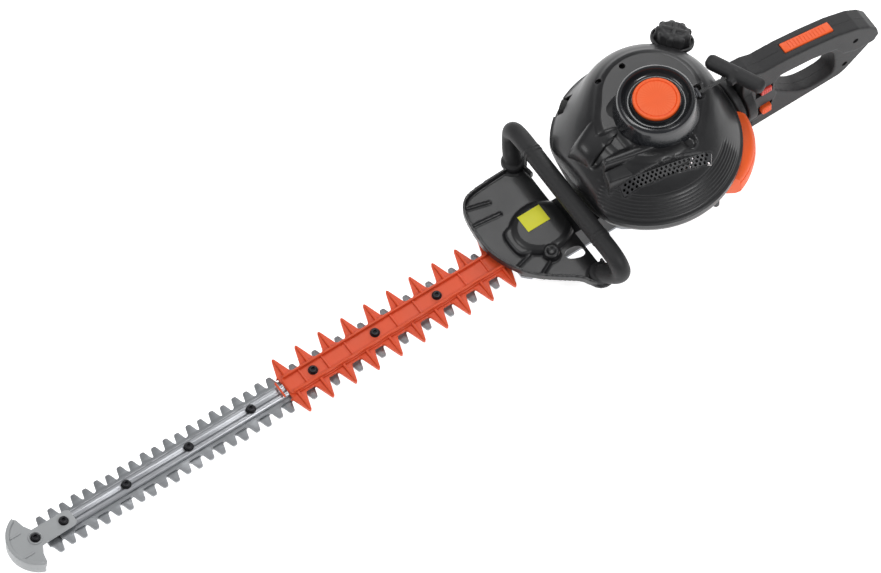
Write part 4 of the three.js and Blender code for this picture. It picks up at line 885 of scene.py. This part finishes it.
def build_starter():
    """The recoil starter's housing with its dished ring, and the orange disc in its middle."""
    outer = [(48, 153), (48, 156), (47.4, 162), (46.4, 168), (45.2, 174), (44.2, 180), (43.4, 184.6),
             (42.2, 186.8), (40.4, 188), (38.6, 187.6), (37.2, 185.6), (36, 182.4), (34.2, 180),
             (31.6, 179), (29.6, 179.6), (28.4, 181.6), (28, 184.4), (27.4, 185.4), (26.9, 184.8),
             (26.8, 183.4), (0, 183.2)]
    inner = [(0, 180.4), (26, 180.4), (28, 176.5), (34, 176.2), (38, 178.6), (40, 182), (40.6, 176),
             (42.2, 169), (44.6, 164), (45.4, 160), (45.4, 153)]
    housing = turned("starter_ring", outer + inner, steps=160)
    mouth = rod("rope_mouth", (7, 159.5), 5.2, -60, -34, sides=32, axis="X")
    carve(housing, mouth)
    eyelet = turned("rope_eyelet",
                    [(2.6, -3), (5.0, -3), (5.0, 0.6), (6.2, 1.2), (6.6, 2.6), (5.6, 3.8), (3.6, 4.0),
                     (2.6, 3)], steps=40, matrix=along((-47.5, 7, 159.5), (-1, 0.07, 0.1)))
    smooth(eyelet, 35)
    place(eyelet, MAIN, "dark steel", "steel")
    smooth(housing, 40)
    place(housing, MAIN, "gloss black ring", "gloss_black", "starter_housing")
    lift = [(0, 186.6), (12, 186.9), (22, 187.1), (24.2, 187.5), (25.6, 187.2), (26.3, 186.2), (26.3, 184),
            (0, 184)]
    disc = turned("starter_disc_cap", lift, steps=128)
    ring = turned("disc_groove", [(21.4, 186.7), (22.2, 186.2), (22.9, 186.8), (22.9, 190), (21.4, 190)],
                  steps=96)
    carve(disc, ring)
    smooth(disc, 30)
    place(disc, MAIN, "orange plastic", "orange", "starter_disc")


def build_fuel_cap():
    """The ribbed fuel cap with its crossed top."""
    body = turned("fuel_cap_knob",
                  [(0, -0.5), (17.5, -0.5), (18, 0.4), (18, 13), (16.6, 15.6), (13.6, 16.6), (10, 15.4),
                   (0, 15)], steps=72)
    lobes = []
    for i in range(9):
        lug = rounded_bar("lug", (14.5, -3.7, 0.2), (20.3, 3.7, 15.4), 2.2, 3)
        lug.data.transform(Matrix.Rotation(i * 2 * math.pi / 9, 4, "Z"))
        lobes.append(lug)
    for i in range(2):
        bar = rounded_bar("bar", (-14, -2.6, 12), (14, 2.6, 17.6), 1.6, 3)
        bar.data.transform(Matrix.Rotation(math.pi / 4 + i * math.pi / 2, 4, "Z"))
        lobes.append(bar)
    merge_pieces(body, *lobes)
    fused(body, 0.8, 3)
    body.data.transform(along(CAP_AT, CAP_AXIS))
    smooth(body, 60)
    place(body, "fuel_cap_unit", "matt black housing", "black", "fuel_cap")


def build_filter_cover():
    """The orange crescent of the air filter's cover."""
    turn = Matrix.Rotation(INTAKE_ANGLE, 4, "Z")
    bowl = turned("filter_cover_crescent",
                  [(0, 60.6), (66, 60.6), (73, 62.2), (77, 66.6), (78, 74), (77.6, 84), (75.6, 91.4),
                                            (71, 95.6), (62, 96.6), (0, 96.6)], steps=200)
    bowl.data.transform(Matrix.Translation((32 * MM, 0, 0)))
    keep = block("keep", (76.4, -44.5, 50), (130, 38.5, 105))
    carve(bowl, keep, operation="INTERSECT")
    lines = []
    for z in (70.5, 86.5):
        groove = turned("line", [(76.4, z - 0.7), (90, z - 0.7), (90, z + 0.7), (76.4, z + 0.7)], steps=160)
        groove.data.transform(Matrix.Translation((32 * MM, 0, 0)))
        lines.append(groove)
    carve(bowl, *lines)
    bevel(bowl, 1.0, 3, 40)
    bowl.data.transform(turn)
    smooth(bowl, 40)
    place(bowl, MAIN, "orange plastic", "orange", "air_filter_cover")


def build_pull_grip():
    """The T-shaped pull grip and the short stretch of rope to the starter."""
    tilt = Matrix.Rotation(math.radians(26), 4, "Z")
    bar = rounded_bar("pull_grip_bar", (-9.5, -36, -8.5), (9.5, 36, 8.5), 6.5, 5)
    moved_by(bar, lambda c: np.column_stack((c[:, 0] * (1 - 0.16 * (c[:, 1] / 36) ** 2), c[:, 1],
                                             c[:, 2] * (1 - 0.2 * (c[:, 1] / 36) ** 2))))
    stem = turned("stem", [(0, -13.5), (4.4, -13.5), (5.6, -9), (8.5, 0), (0, 4)], steps=32)
    stem.data.transform(Matrix.Rotation(math.radians(-90), 4, "Y"))
    merge_pieces(bar, stem)
    fused(bar, 0.9, 3)
    bar.data.transform(Matrix.Translation((-97 * MM, 12 * MM, 161 * MM)) @ tilt)
    smooth(bar, 60)
    place(bar, "pull_grip", "handle grip black", "black", "starter_grip")


def build_rope():
    """The stretch of starter rope between the housing and the pull grip."""
    start, end = (-46.0, 7.0, 159.5), (-86.0, 10.4, 160.8)
    points = [tuple(a + (b - a) * t for a, b in zip(start, end)) for t in np.linspace(0, 1, 9)]
    line = tube("starter_rope_stretch", points, 1.7, steps=6, roundness=4)
    smooth(line, 60)
    line.data.materials.clear()
    line.data.materials.append(bpy.data.materials["starter cord"])
    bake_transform(line)
    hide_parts("starter_rope")


# ---- Cutting unit ----------------------------------------------------------------------------------------

PITCH = 30.0
TEETH = 20
SCREW_XS = [289 + 81.4 * i for i in range(7)]


def blade_outline(first):
    """A blade's plan: a shank, and on each side teeth with ground shoulders and round tips."""
    side = [(92, 11), (94, 13)]
    for i in range(TEETH):
        x = first + PITCH * i
        side += [(x - 8.5, 13), (x - 6.8, 13.6), (x - 5.6, 15.2), (x - 3.4, 22.6), (x - 2.9, 24.0),
                 (x - 1.7, 24.9), (x + 1.7, 24.9), (x + 2.9, 24.0), (x + 3.4, 22.6), (x + 5.6, 15.2),
                 (x + 6.8, 13.6), (x + 8.5, 13)]
    return mirrored(side)


def build_blades():
    """The two toothed blades, each with its slots for the bar's screws."""
    for name, first, low, body, node in (("upper_blade_strip", 210, 30.15, "upper_blade_unit", "upper_blade"),
                                         ("lower_blade_strip", 225, 27.15, "lower_blade_unit",
                                          "lower_blade")):
        strip = slab(name, blade_outline(first), low, low + 2.7)
        slots = []
        for x in SCREW_XS:
            outline = arc_points(x + 7.5, 0, 3.6, -90, 90, 8) + arc_points(x - 7.5, 0, 3.6, 90, 270, 8)
            slots.append(slab("slot", outline, low - 1, low + 4))
        slots.append(rod("pin_hole", (100, 0), 3.4, low - 1, low + 4, sides=24))
        carve(strip, *slots)
        bevel(strip, 0.55, 2, 40)
        smooth(strip, 30)
        place(strip, body, "blade steel", "steel", node)


def build_guide_bar():
    """The bar over the blades, with its rolled groove, and its black screws, spacers and nuts."""
    half, base, top = 8.75, 33.15, 37.15
    section = [(-half, base), (half, base), (half, 35.3), (half - 0.5, 36.0), (6.9, 36.9), (6.2, top),
               (3.4, top), (2.6, 36.8), (1.7, 36.2), (-1.7, 36.2), (-2.6, 36.8), (-3.4, top), (-6.2, top),
               (-6.9, 36.9), (-half + 0.5, 36.0), (-half, 35.3)]
    bar = slab("guide_bar_strip", section, 150, 820.5, plane="YZ")
    carve(bar, *[rod("hole", (x, 0), 3.05, 30, 40, sides=24) for x in SCREW_XS + [814]])
    bevel(bar, 0.25, 2, 40)
    smooth(bar, 30)
    place(bar, MAIN, "bright steel", "steel", "guide_bar")
    heads = []
    for x in SCREW_XS + [814]:
        seat = 40.45 if x < 488 or x > 770 else top
        washer = turned("washer", [(0, seat - 0.1), (5.6, seat - 0.1), (5.6, seat + 0.6), (5.2, seat + 0.9),
                                   (0, seat + 0.9)],
                        x, 0, steps=36)
        head = screw_head("head", (x, 0, seat + 0.8), 4.7, 3.0)
        shank = rod("shank", (x, 0), 2.95, 26.6, seat + 0.4, sides=24)
        nut = rod("nut", (x, 0), 5.5, 22.9, 26.8, sides=6)
        bevel(nut, 0.4, 2)
        heads.append(merge_pieces(washer, head, shank, nut))
    screws = merge_pieces(*heads)
    screws.name = "bar_screws"
    smooth(screws, 32)
    place(screws, MAIN, "black oxide steel", "dark_steel")


def guard_outline():
    """The tooth guard's plan: a strip with sharp fins on both sides."""
    side = [(202, 14.5)]
    for i in range(10):
        x = 210 + PITCH * i
        side += [(max(x - 10.5, 202.5 + i * 0.01), 14.5), (x - 8.2, 16.4), (x - 1.6, 36.4), (x - 0.6, 37.4),
                 (x + 0.6, 37.4), (x + 1.6, 36.4), (x + 8.2, 16.4), (x + 10.5, 14.5)]
    side += [(488, 14.5)]
    return mirrored(side)


def build_tooth_guard():
    """The orange guard over the root half of the blades, with its ribs and fins."""
    guard = slab("tooth_guard_comb", guard_outline(), 33.35, 37.85)
    bevel(guard, 0.8, 3, 50)
    spine = slab("spine", mirrored([(203, 9.5), (208, 13), (482, 13), (487, 9.5)]), 36.5, 40.45)
    bevel(spine, 0.7, 3, 50)
    parts = [spine]
    for y in (-10.4, 10.4):
        rib = slab("rib", [(206, y - 1.3), (484, y - 1.3), (484, y + 1.3), (206, y + 1.3)], 39, 44.45)
        parts.append(bevel(rib, 1.1, 3, 50))
    for i in range(10):
        x = 210 + PITCH * i
        for side in (-1, 1):
            fin = slab("fin_rib", [(x - 1.5, 9), (x + 1.5, 9), (x + 0.8, 35.2), (x - 0.8, 35.2)], 37, 41.6)
            moved_by(fin, lambda c, s=side: np.column_stack(
                (c[:, 0], s * c[:, 1], np.where((c[:, 2] > 38) & (c[:, 1] > 20), 39.0, c[:, 2]))))
            settle(fin)
            parts.append(bevel(fin, 0.6, 2, 40))
        if not any(abs(x + 15 - s) < 9 for s in SCREW_XS):
            bridge = slab("bridge", [(x + 14, -10), (x + 16, -10), (x + 16, 10), (x + 14, 10)], 39.4, 42.4)
            parts.append(bevel(bridge, 0.6, 2, 40))
    for part in parts:
        carve(guard, part, operation="UNION")
    tools = [slab("bar_channel", mirrored([(195, 9.05), (495, 9.05)]), 30, 37.45)]
    tools += [rod("screw_hole", (x, 0), 3.2, 30, 50, sides=24) for x in SCREW_XS if x < 488]
    carve(guard, *tools)
    smooth(guard, 35)
    place(guard, MAIN, "orange guard plastic", "orange", "tooth_guard")


def build_tip_guard():
    """The grey half-moon at the bar's tip with its raised rim and its neck over the bar."""
    outer = arc_points(810, 0, 36, -70.5, 70.5, 40)
    outer += [(818.6, 30), (816.6, 20), (812, 12), (812, -12), (816.6, -20), (818.6, -30)]
    plate = slab("tip_guard_moon", outer, 33.6, 40.45)
    bevel(plate, 1.5, 4, 50)
    wall_out = arc_points(810, 0, 36, -70.5, 70.5, 40)
    wall_in = arc_points(810, 0, 31.6, 66, -66, 40)
    wall = slab("rim", wall_out + wall_in, 24.1, 43)
    bevel(wall, 1.4, 4, 50)
    neck = slab("neck", mirrored([(765, 8.0), (769, 10.4), (800, 11), (826, 11.6)]), 37.45, 40.45)
    bevel(neck, 1.0, 3, 50)
    boss = turned("boss", [(0, 39), (8.2, 39), (8.2, 41.0), (7.6, 41.6), (6.6, 41.6), (6.3, 40.5),
                           (0, 40.5)], 814, 0, steps=48)
    ribs = [rounded_bar("rib", (824, y - 1.1, 39.6), (838, y + 1.1, 41.8), 0.8, 3) for y in (-14, 14)]
    for part in [wall, neck, boss] + ribs:
        carve(plate, part, operation="UNION")
    carve(plate, block("bar_room", (760, -9.1, 20), (821, 9.1, 37.45)))
    carve(plate, rod("hole", (814, 0), 3.2, 30, 50, sides=24),
          rod("hole", (SCREW_XS[-1], 0), 3.2, 30, 50, sides=24))
    smooth(plate, 38)
    place(plate, MAIN, "grey tip plastic", "grey", "tip_guard")


# ---- Shield and loop handle ------------------------------------------------------------------------------

SHIELD_PLAN = [(118, -78), (134, -82), (150, -82), (192, -80), (204, -74), (212, -62), (216, -40),
               (218, -8), (208, 20), (194, 44), (172, 62), (150, 78), (146, 88), (138, 95), (122, 95),
               (118, 88)]


def shrunk(points, distance):
    """An outline drawn in by a distance."""
    centre = np.mean(points, axis=0)
    result = []
    count = len(points)
    for i in range(count):
        before, here, after = (np.array(points[(i + k) % count]) for k in (-1, 0, 1))
        normal = np.array((-(after - before)[1], (after - before)[0]))
        normal = normal / np.linalg.norm(normal)
        if normal @ (centre - here) < 0:
            normal = -normal
        result.append(tuple(here + normal * distance))
    return result


def build_shield():
    """The hand shield: a dished plate with a rim, a hump over the drive, ribs, bosses and a plain label."""
    plan = softened(SHIELD_PLAN, 3)
    shield = slab("hand_shield_plate", plan, 46, 49.2)
    rim = slab("rim", plan, 46, 56)
    carve(rim, slab("rim_room", shrunk(plan, 3.2), 40, 60))
    hump = turned("hump", [(0, 47), (38, 47), (36.5, 52), (33, 55.4), (28, 57), (0, 57.2)], 150, 0, steps=96)
    moved_by(hump, lambda c: np.column_stack((150 + (c[:, 0] - 150) * 1.0, c[:, 1] * 0.86, c[:, 2])))
    nose = slab("nose", softened([(150, -24), (186, -20), (192, -12), (192, 12), (186, 20), (150, 24)], 2),
                47, 54.5)
    bevel(nose, 3.0, 4, 40)
    boss = turned("boss", [(0, 48), (9.5, 48), (8.6, 57.6), (7.6, 58.6), (5.0, 58.6), (4.6, 56.5),
                           (0, 56.5)], 160, 33, steps=48)
    solids = [rim, hump, nose, boss]
    for x0, y0, x1, y1 in ((178, -58, 206, -66), (176, -40, 211, -44), (178, 20, 202, 26),
                           (166, 40, 186, 50)):
        rib = rounded_bar("rib", (0, -1.5, 48), (math.hypot(x1 - x0, y1 - y0), 1.5, 52.0), 1.2, 2)
        rib.data.transform(Matrix.Translation((x0 * MM, y0 * MM, 0))
                           @ Matrix.Rotation(math.atan2(y1 - y0, x1 - x0), 4, "Z"))
        solids.append(rib)
    for side in (-1, 1):
        pad = turned("foot_pad", [(0, 46), (15.5, 46), (15.5, 49.4), (14.6, 50.6), (0, 50.6)], 130,
                     84 * side, steps=64)
        if side < 0:
            moved_by(pad, lambda c: np.column_stack((c[:, 0], np.maximum(c[:, 1], -82.5), c[:, 2])))
        solids.append(pad)
    merge_pieces(shield, *solids)
    fused(shield, 1.0, 3)
    tools = [block("clear_below", (90, -100, 30), (230, 110, 46.02)),
             slab("slot", softened([(126, 40), (146, 36), (150, 48), (128, 56)], 2), 40, 60)]
    tools.append(block("rear_notch", (90, -60, 40), (123.5, 70, 90)))
    for tool in tools:
        carve(shield, tool)
    smooth(shield, 50)
    place(shield, MAIN, "black housing", "black", "hand_shield")

    label = slab("plain_label", [(138.6, -22.4), (167.4, -22.4), (167.4, -0.6), (138.6, -0.6)], 57.15, 57.9)
    bevel(label, 0.25, 2, 40)
    smooth(label, 30)
    place(label, MAIN, "yellow plate", "yellow", "shield_plate")


def loop_path():
    """The centre line of the loop handle, foot to foot."""
    half = [(130, 84, 49.3), (129.2, 86, 55), (124.5, 95, 61.5), (120, 102, 68), (118, 104.4, 75),
            (118, 102, 83), (118, 96, 88), (118, 86, 90.6), (118, 70, 91), (118, 40, 91), (118, 12, 91)]
    return [(x, -y, z) for x, y, z in half] + [(x, y, z) for x, y, z in reversed(half)]


def build_loop():
    """The loop handle: a rubber-covered tube with end collars and a joint ring, and its two bolts."""
    loop = tube("loop_handle_tube", loop_path(), 10.6, steps=8, roundness=8)
    rings = []
    for y in (-66, -62, 62, 66):
        ring = turned("ring", [(10.2, -1.0), (11.3, -0.6), (11.3, 0.6), (10.2, 1.0)], steps=64,
                      matrix=along((118, y, 91), (0, 1, 0)))
        rings.append(ring)
    for side in (-1, 1):
        rings.append(turned("collar", [(8, 50.9), (13.6, 50.9), (13.8, 54), (12.4, 57.5), (8, 58)], 130,
                            84 * side, steps=64))
    merge_pieces(loop, *rings)
    fused(loop, 1.0, 2)
    smooth(loop, 60)
    place(loop, MAIN, "handle grip black", "black", "loop_handle")
    bolts = []
    for side in (-1, 1):
        bolt = turned("bolt", [(0, 36.5), (6.3, 36.5), (6.3, 38), (5.9, 41.5), (3.9, 41.8), (3.9, 45.9),
                               (0, 45.9)],
                      130, 84 * side, steps=36)
        bolts.append(bolt)
    bolts = merge_pieces(*bolts)
    bolts.name = "loop_bolts"
    smooth(bolts, 32)
    place(bolts, MAIN, "black oxide steel", "dark_steel", "loop_bolt_left", "loop_bolt_right")


# ---- Rear handle -----------------------------------------------------------------------------------------

CROWN = [(-290, 60), (-288, 72), (-278, 86), (-262, 99), (-233, 112), (-200, 121), (-166, 128), (-134, 131),
         (-120, 138), (-106, 140)]
HANDLE_SIDE = [(-106, 20), (-110, 16), (-240, 16), (-248, 20), (-284, 50)] + CROWN
GRIP_SIDE = [(-106, 30), (-140, 36), (-152, 62), (-150, 92), (-158, 100), (-200, 93), (-232, 82),
             (-244, 62), (-262, 52), (-284, 51)] + CROWN
WINDOW = [(-150, 70), (-176, 42), (-190, 31), (-206, 27), (-226, 27), (-233, 34), (-232, 70), (-226, 80),
          (-206, 90), (-176, 97), (-156, 98), (-149, 90)]
TRIGGER = [(-152, 104), (-158, 108), (-170, 104), (-196, 92), (-206, 82), (-204, 74), (-196, 76),
           (-184, 82), (-168, 84), (-160, 80), (-154, 84)]
HANDLE_SCREWS = ((-120, 30, False), (-258, 76, True), (-246, 34, False), (-116, 128, True))
INLAY = [(-168, 128.4), (-233, 113.1)]


def inlay_outline(rise, drop, grow):
    """Side outline of the orange strip in the grip's top."""
    (fx, fz), (rx, rz) = INLAY
    return [(fx + grow, fz - drop), (fx + grow, fz + rise), (rx - grow, rz + rise), (rx - grow, rz - drop)]


def build_handle_shells():
    """The halves of the rear handle, with the seam, the window, the grip's round section and its ribs."""
    body = slab("handle_body", HANDLE_SIDE, -12.0, 12.0, plane="XZ")
    grip = slab("grip", GRIP_SIDE, -14.3, 14.3, plane="XZ")
    collar = rod("collar", (0, 78), 29, -118, -106, sides=96, axis="X")
    for part in (body, grip):
        carve(part, slab("window", softened(WINDOW, 2), -20, 20, plane="XZ"))
    merge_pieces(body, grip, collar)
    fused(body, 1.15, 9)
    tools = [slab("trigger_room", [(-147, 84), (-147, 113), (-172, 113), (-212, 104), (-212, 74),
                                   (-180, 70)], -4.6, 4.6,
                  plane="XZ"),
             slab("inlay_room", inlay_outline(24, 7.6, 0.7), -6.9, 6.9, plane="XZ")]
    carve(body, tools[0])
    carve(body, tools[1])
    carve(body, block("front_face", (-105.9, -60, 0), (-80, 60, 200)))
    right = copied(body, "handle_half_right")
    body.name = "handle_half_left"
    halved(body, (0, 0.12, 0), (0, -1, 0))
    halved(right, (0, -0.12, 0), (0, 1, 0))
    carve(body, block("switch_room", (-147, 9.8, 80), (-124, 30, 94)),
          block("latch_room", (-147, 9.8, 40), (-124, 30, 58)))
    for half, side in ((body, 1), (right, -1)):
        wells = [rod("well", (x, z), 3.6, 10.0 if deep else 8.0, 40, sides=28, axis="Y")
                 for x, z, deep in HANDLE_SCREWS]
        for well in wells:
            if side < 0:
                well.data.transform(Matrix.Scale(-1, 4, (0, 1, 0)))
                settle(well)
        carve(half, *wells)
        smooth(half, 45)
        place(half, "rear_handle", "handle grip black", "black",
              "handle_shell_left" if side > 0 else "handle_shell_right")
    heads = []
    for x, z, deep in HANDLE_SCREWS:
        heads.append(screw_head("head", (x, -10.0 if deep else -8.0, z), 3.0, 2.2, (0, -1, 0)))
    screws = merge_pieces(*heads)
    screws.name = "handle_screws"
    place(screws, "rear_handle", "black oxide steel", "dark_steel")


def build_handle_controls():
    """The orange inlay, the trigger, the stop switch and the swivel latch."""
    inlay = slab("grip_inlay_strip", inlay_outline(0.9, 4, 0), -6.4, 6.4, plane="XZ")
    bevel(inlay, 1.2, 4, 40)
    lines = []
    for i in range(12):
        x = -177 - 4.2 * i
        z = 128.4 + (x + 168) * 0.235 + 0.9
        line = block("line", (x - 0.5, -4.4, z - 0.5), (x + 0.5, 4.4, z + 2))
        lines.append(line)
    carve(inlay, *lines)
    smooth(inlay, 35)
    place(inlay, "throttle_lock", "orange plastic", "orange", "grip_inlay")

    trigger = slab("trigger_blade", softened(TRIGGER, 1), -4, 4, plane="XZ")
    bevel(trigger, 1.3, 3, 50)
    merge_pieces(trigger, rod("pin", (-156, 103), 2, -6.8, 6.8, sides=24, axis="Y"))
    smooth(trigger, 35)
    place(trigger, "trigger", "red switch plastic", "red", "throttle_trigger")

    switch = rounded_bar("stop_switch_slider", (-145, 10.3, 82), (-131, 16.2, 92), 1.4, 3)
    carve(switch, *[block("line", (x - 0.5, 15.6, 83.5),
                          (x + 0.5, 20, 90.5)) for x in (-142, -139.5, -137, -134.5)])
    smooth(switch, 35)
    place(switch, "stop_switch_unit", "red switch plastic", "red", "stop_switch")

    latch = rounded_bar("swivel_latch_slider", (-144, 10.3, 42), (-132, 18.2, 55), 1.8, 3)
    carve(latch, *[block("line", (-142.6, 17.4, z - 0.6), (-133.4, 20, z + 0.6)) for z in (45, 48.5, 52)])
    smooth(latch, 35)
    place(latch, "handle_latch", "orange plastic", "orange", "swivel_latch")


def build_swivel_mount():
    """The turned disc and arm that carry the rear handle."""
    mount = turned("swivel_disc", [(0, 40.8), (13.8, 40.8), (13.8, 92), (17, 94.2), (26.6, 94.4), (28, 96),
                                   (28, 101.6), (27, 103.6), (0, 103.6)], steps=96)
    mount.data.transform(Matrix.Translation((0, 0, 78 * MM)) @ Matrix.Rotation(math.radians(-90), 4, "Y"))
    smooth(mount, 35)
    place(mount, MAIN, "matt black housing", "black", "swivel_mount")


def dress_inner_parts():
    """Gives every CAD part that stays in view its procedural finish."""
    table = {
        "gear_case": "black cast case", "gear_case_base": "cast aluminium", "gear_bearing": "bright steel",
        "drum_bearing": "bright steel", "crank_bearing_lower": "bright steel",
        "crank_bearing_upper": "bright steel", "crankcase": "cast aluminium", "cylinder": "cast aluminium",
        "spark_plug": "bronze fitting", "plug_boot": "rubber black", "muffler": "dark steel",
        "ignition_coil": "rubber black", "carburettor": "cast aluminium",
        "air_filter_case": "matt black housing", "air_filter_element": "filter paper",
        "fuel_tank": "tank plastic", "recoil_spring": "bright steel", "upper_rod": "dark steel",
        "lower_rod": "dark steel", "drive_gear": "dark steel", "clutch_drum": "dark steel",
        "crank_lower": "dark steel", "crank_upper": "dark steel", "flywheel": "cast aluminium",
        "clutch_shoe_left": "dark steel", "clutch_shoe_right": "dark steel",
        "connecting_rod": "cast aluminium", "piston": "cast aluminium", "piston_pin": "bright steel",
        "starter_pulley": "grey tip plastic", "choke_lever": "matt black housing",
        "primer_bulb": "rubber black",
    }
    for node, finish in table.items():
        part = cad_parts[node]
        part.data.materials.clear()
        part.data.materials.append(bpy.data.materials[finish])


# ---- Stage -----------------------------------------------------------------------------------------------


def build_stage():
    """The pale floor, the soft lights and the camera."""
    deselect()
    bpy.ops.mesh.primitive_plane_add(size=14, location=(0, 0, -0.002))
    floor = bpy.context.object
    floor.name = "pale_floor"
    white = bpy.data.materials.new("pale floor")
    white.use_nodes = True
    shader = white.node_tree.nodes["Principled BSDF"]
    shader.inputs["Base Color"].default_value = (0.93, 0.93, 0.93, 1)
    shader.inputs["Roughness"].default_value = 0.9
    shader.inputs["Emission Color"].default_value = (1, 1, 1, 1)
    shader.inputs["Emission Strength"].default_value = 0.8
    floor.data.materials.append(white)

    world = bpy.data.worlds.new("studio")
    bpy.context.scene.world = world
    world.use_nodes = True
    world.node_tree.nodes["Background"].inputs["Color"].default_value = (0.95, 0.97, 1.0, 1)
    world.node_tree.nodes["Background"].inputs["Strength"].default_value = 0.22
    for name, spot, aim, size, power in (
            ("key", (-0.6, 1.9, 2.6), (0, 0, 0.1), 1.0, 36),
            ("fill", (1.9, -0.6, 2.2), (0.2, 0, 0.1), 1.2, 22),
            ("back", (-2.0, -1.4, 1.6), (0, 0, 0.1), 1.2, 26),
            ("top", (-0.5, -1.1, 2.6), (0.1, 0, 0), 0.8, 12)):
        bpy.ops.object.light_add(type="AREA", location=spot)
        light = bpy.context.object
        light.name = name + "_light"
        light.data.shape = "SQUARE"
        light.data.size = size
        light.data.energy = power
        light.rotation_euler = (Vector(aim) - Vector(spot)).to_track_quat("-Z", "Y").to_euler()

    aim = Vector((0.276, -0.0116, 0.030))
    away = Vector((0.2703, 0.3933, 0.8788)).normalized()
    bpy.ops.object.camera_add(location=aim + away * 15.99)
    camera = bpy.context.object
    camera.name = "studio_camera"
    camera.data.lens = 600
    camera.data.sensor_width = 36
    camera.data.clip_end = 60
    bpy.context.scene.view_settings.view_transform = "Standard"
    camera.rotation_euler = (-away).to_track_quat("-Z", "Y").to_euler()
    bpy.context.scene.camera = camera


# ---- Add-on ----------------------------------------------------------------------------------------------


class TrimmerSizes(bpy.types.PropertyGroup):
    """Colours of the trimmer that a user may change."""

    orange: bpy.props.FloatVectorProperty(name="Orange", description="Colour of the orange covers",
                                          subtype="COLOR", size=3, default=(0.80, 0.098, 0.010), min=0, max=1)
    guard_orange: bpy.props.FloatVectorProperty(name="Guard orange", description="Colour of the tooth guard",
                                                subtype="COLOR", size=3, default=(0.66, 0.075, 0.018),
                                                min=0, max=1)
    red: bpy.props.FloatVectorProperty(name="Red", description="Colour of the trigger and stop switch",
                                       subtype="COLOR", size=3, default=(0.6, 0.03, 0.015), min=0, max=1)
    yellow: bpy.props.FloatVectorProperty(name="Yellow",
                                          description="Colour of the plain plate on the shield",
                                          subtype="COLOR", size=3, default=(0.66, 0.64, 0.03), min=0, max=1)


def operator(name, label, words, *steps):
    """An operator class that runs its building steps in order."""

    def execute(self, context):
        for step in steps:
            step()
        return {"FINISHED"}

    return type(f"TRIMMER_OT_{name}", (bpy.types.Operator,),
                {"bl_idname": f"trimmer.{name}", "bl_label": label, "__doc__": words, "execute": execute})


OPERATORS = [
    operator("finishes", "Finishes", "Builds every finish of the trimmer",
             lambda: build_finishes(bpy.context.scene.trimmer_sizes)),
    operator("stage", "Stage", "Adds the floor, the lights and the camera", build_stage),
    operator("engine_cover", "Engine cover", "Models the upper cover with its cowl and outlet panel",
             build_engine_cover, build_cover_details),
    operator("lower_cover", "Lower cover", "Models the lower cover with its vents", build_lower_cover),
    operator("starter", "Starter", "Models the starter ring, the orange disc, the grip and the rope",
             build_starter, build_pull_grip, build_rope),
    operator("fuel_cap", "Fuel cap", "Models the ribbed fuel cap", build_fuel_cap),
    operator("filter_cover", "Filter cover", "Models the orange air filter cover", build_filter_cover),
    operator("blades", "Blades", "Models the two toothed blades", build_blades),
    operator("guide_bar", "Guide bar", "Models the bar over the blades and its screws", build_guide_bar),
    operator("tooth_guard", "Tooth guard", "Models the orange tooth guard", build_tooth_guard),
    operator("tip_guard", "Tip guard", "Models the grey tip guard", build_tip_guard),
    operator("shield", "Hand shield", "Models the hand shield and its plain label", build_shield),
    operator("loop_handle", "Loop handle", "Models the loop handle and its bolts", build_loop),
    operator("rear_handle", "Rear handle", "Models the rear handle's halves, its controls and its mount",
             build_handle_shells, build_handle_controls, build_swivel_mount),
    operator("inner_parts", "Inner parts", "Gives the engine's inner parts their finishes",
             dress_inner_parts),
]


class TRIMMER_PT_panel(bpy.types.Panel):
    """The trimmer's building steps in the sidebar."""

    bl_idname = "TRIMMER_PT_panel"
    bl_label = "Hedge trimmer"
    bl_space_type = "VIEW_3D"
    bl_region_type = "UI"
    bl_category = "Trimmer"

    def draw(self, context):
        for key in ("orange", "guard_orange", "red", "yellow"):
            self.layout.prop(context.scene.trimmer_sizes, key)
        for made in OPERATORS:
            self.layout.operator(made.bl_idname)


CLASSES = [TrimmerSizes, *OPERATORS, TRIMMER_PT_panel]


def register():
    for item in CLASSES:
        bpy.utils.register_class(item)
    bpy.types.Scene.trimmer_sizes = bpy.props.PointerProperty(type=TrimmerSizes)


def unregister():
    del bpy.types.Scene.trimmer_sizes
    for item in reversed(CLASSES):
        bpy.utils.unregister_class(item)


def main():
    register()
    for made in OPERATORS:
        group, step = made.bl_idname.split(".")
        getattr(getattr(bpy.ops, group), step)()
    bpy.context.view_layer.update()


if __name__ == "__main__":
    main()
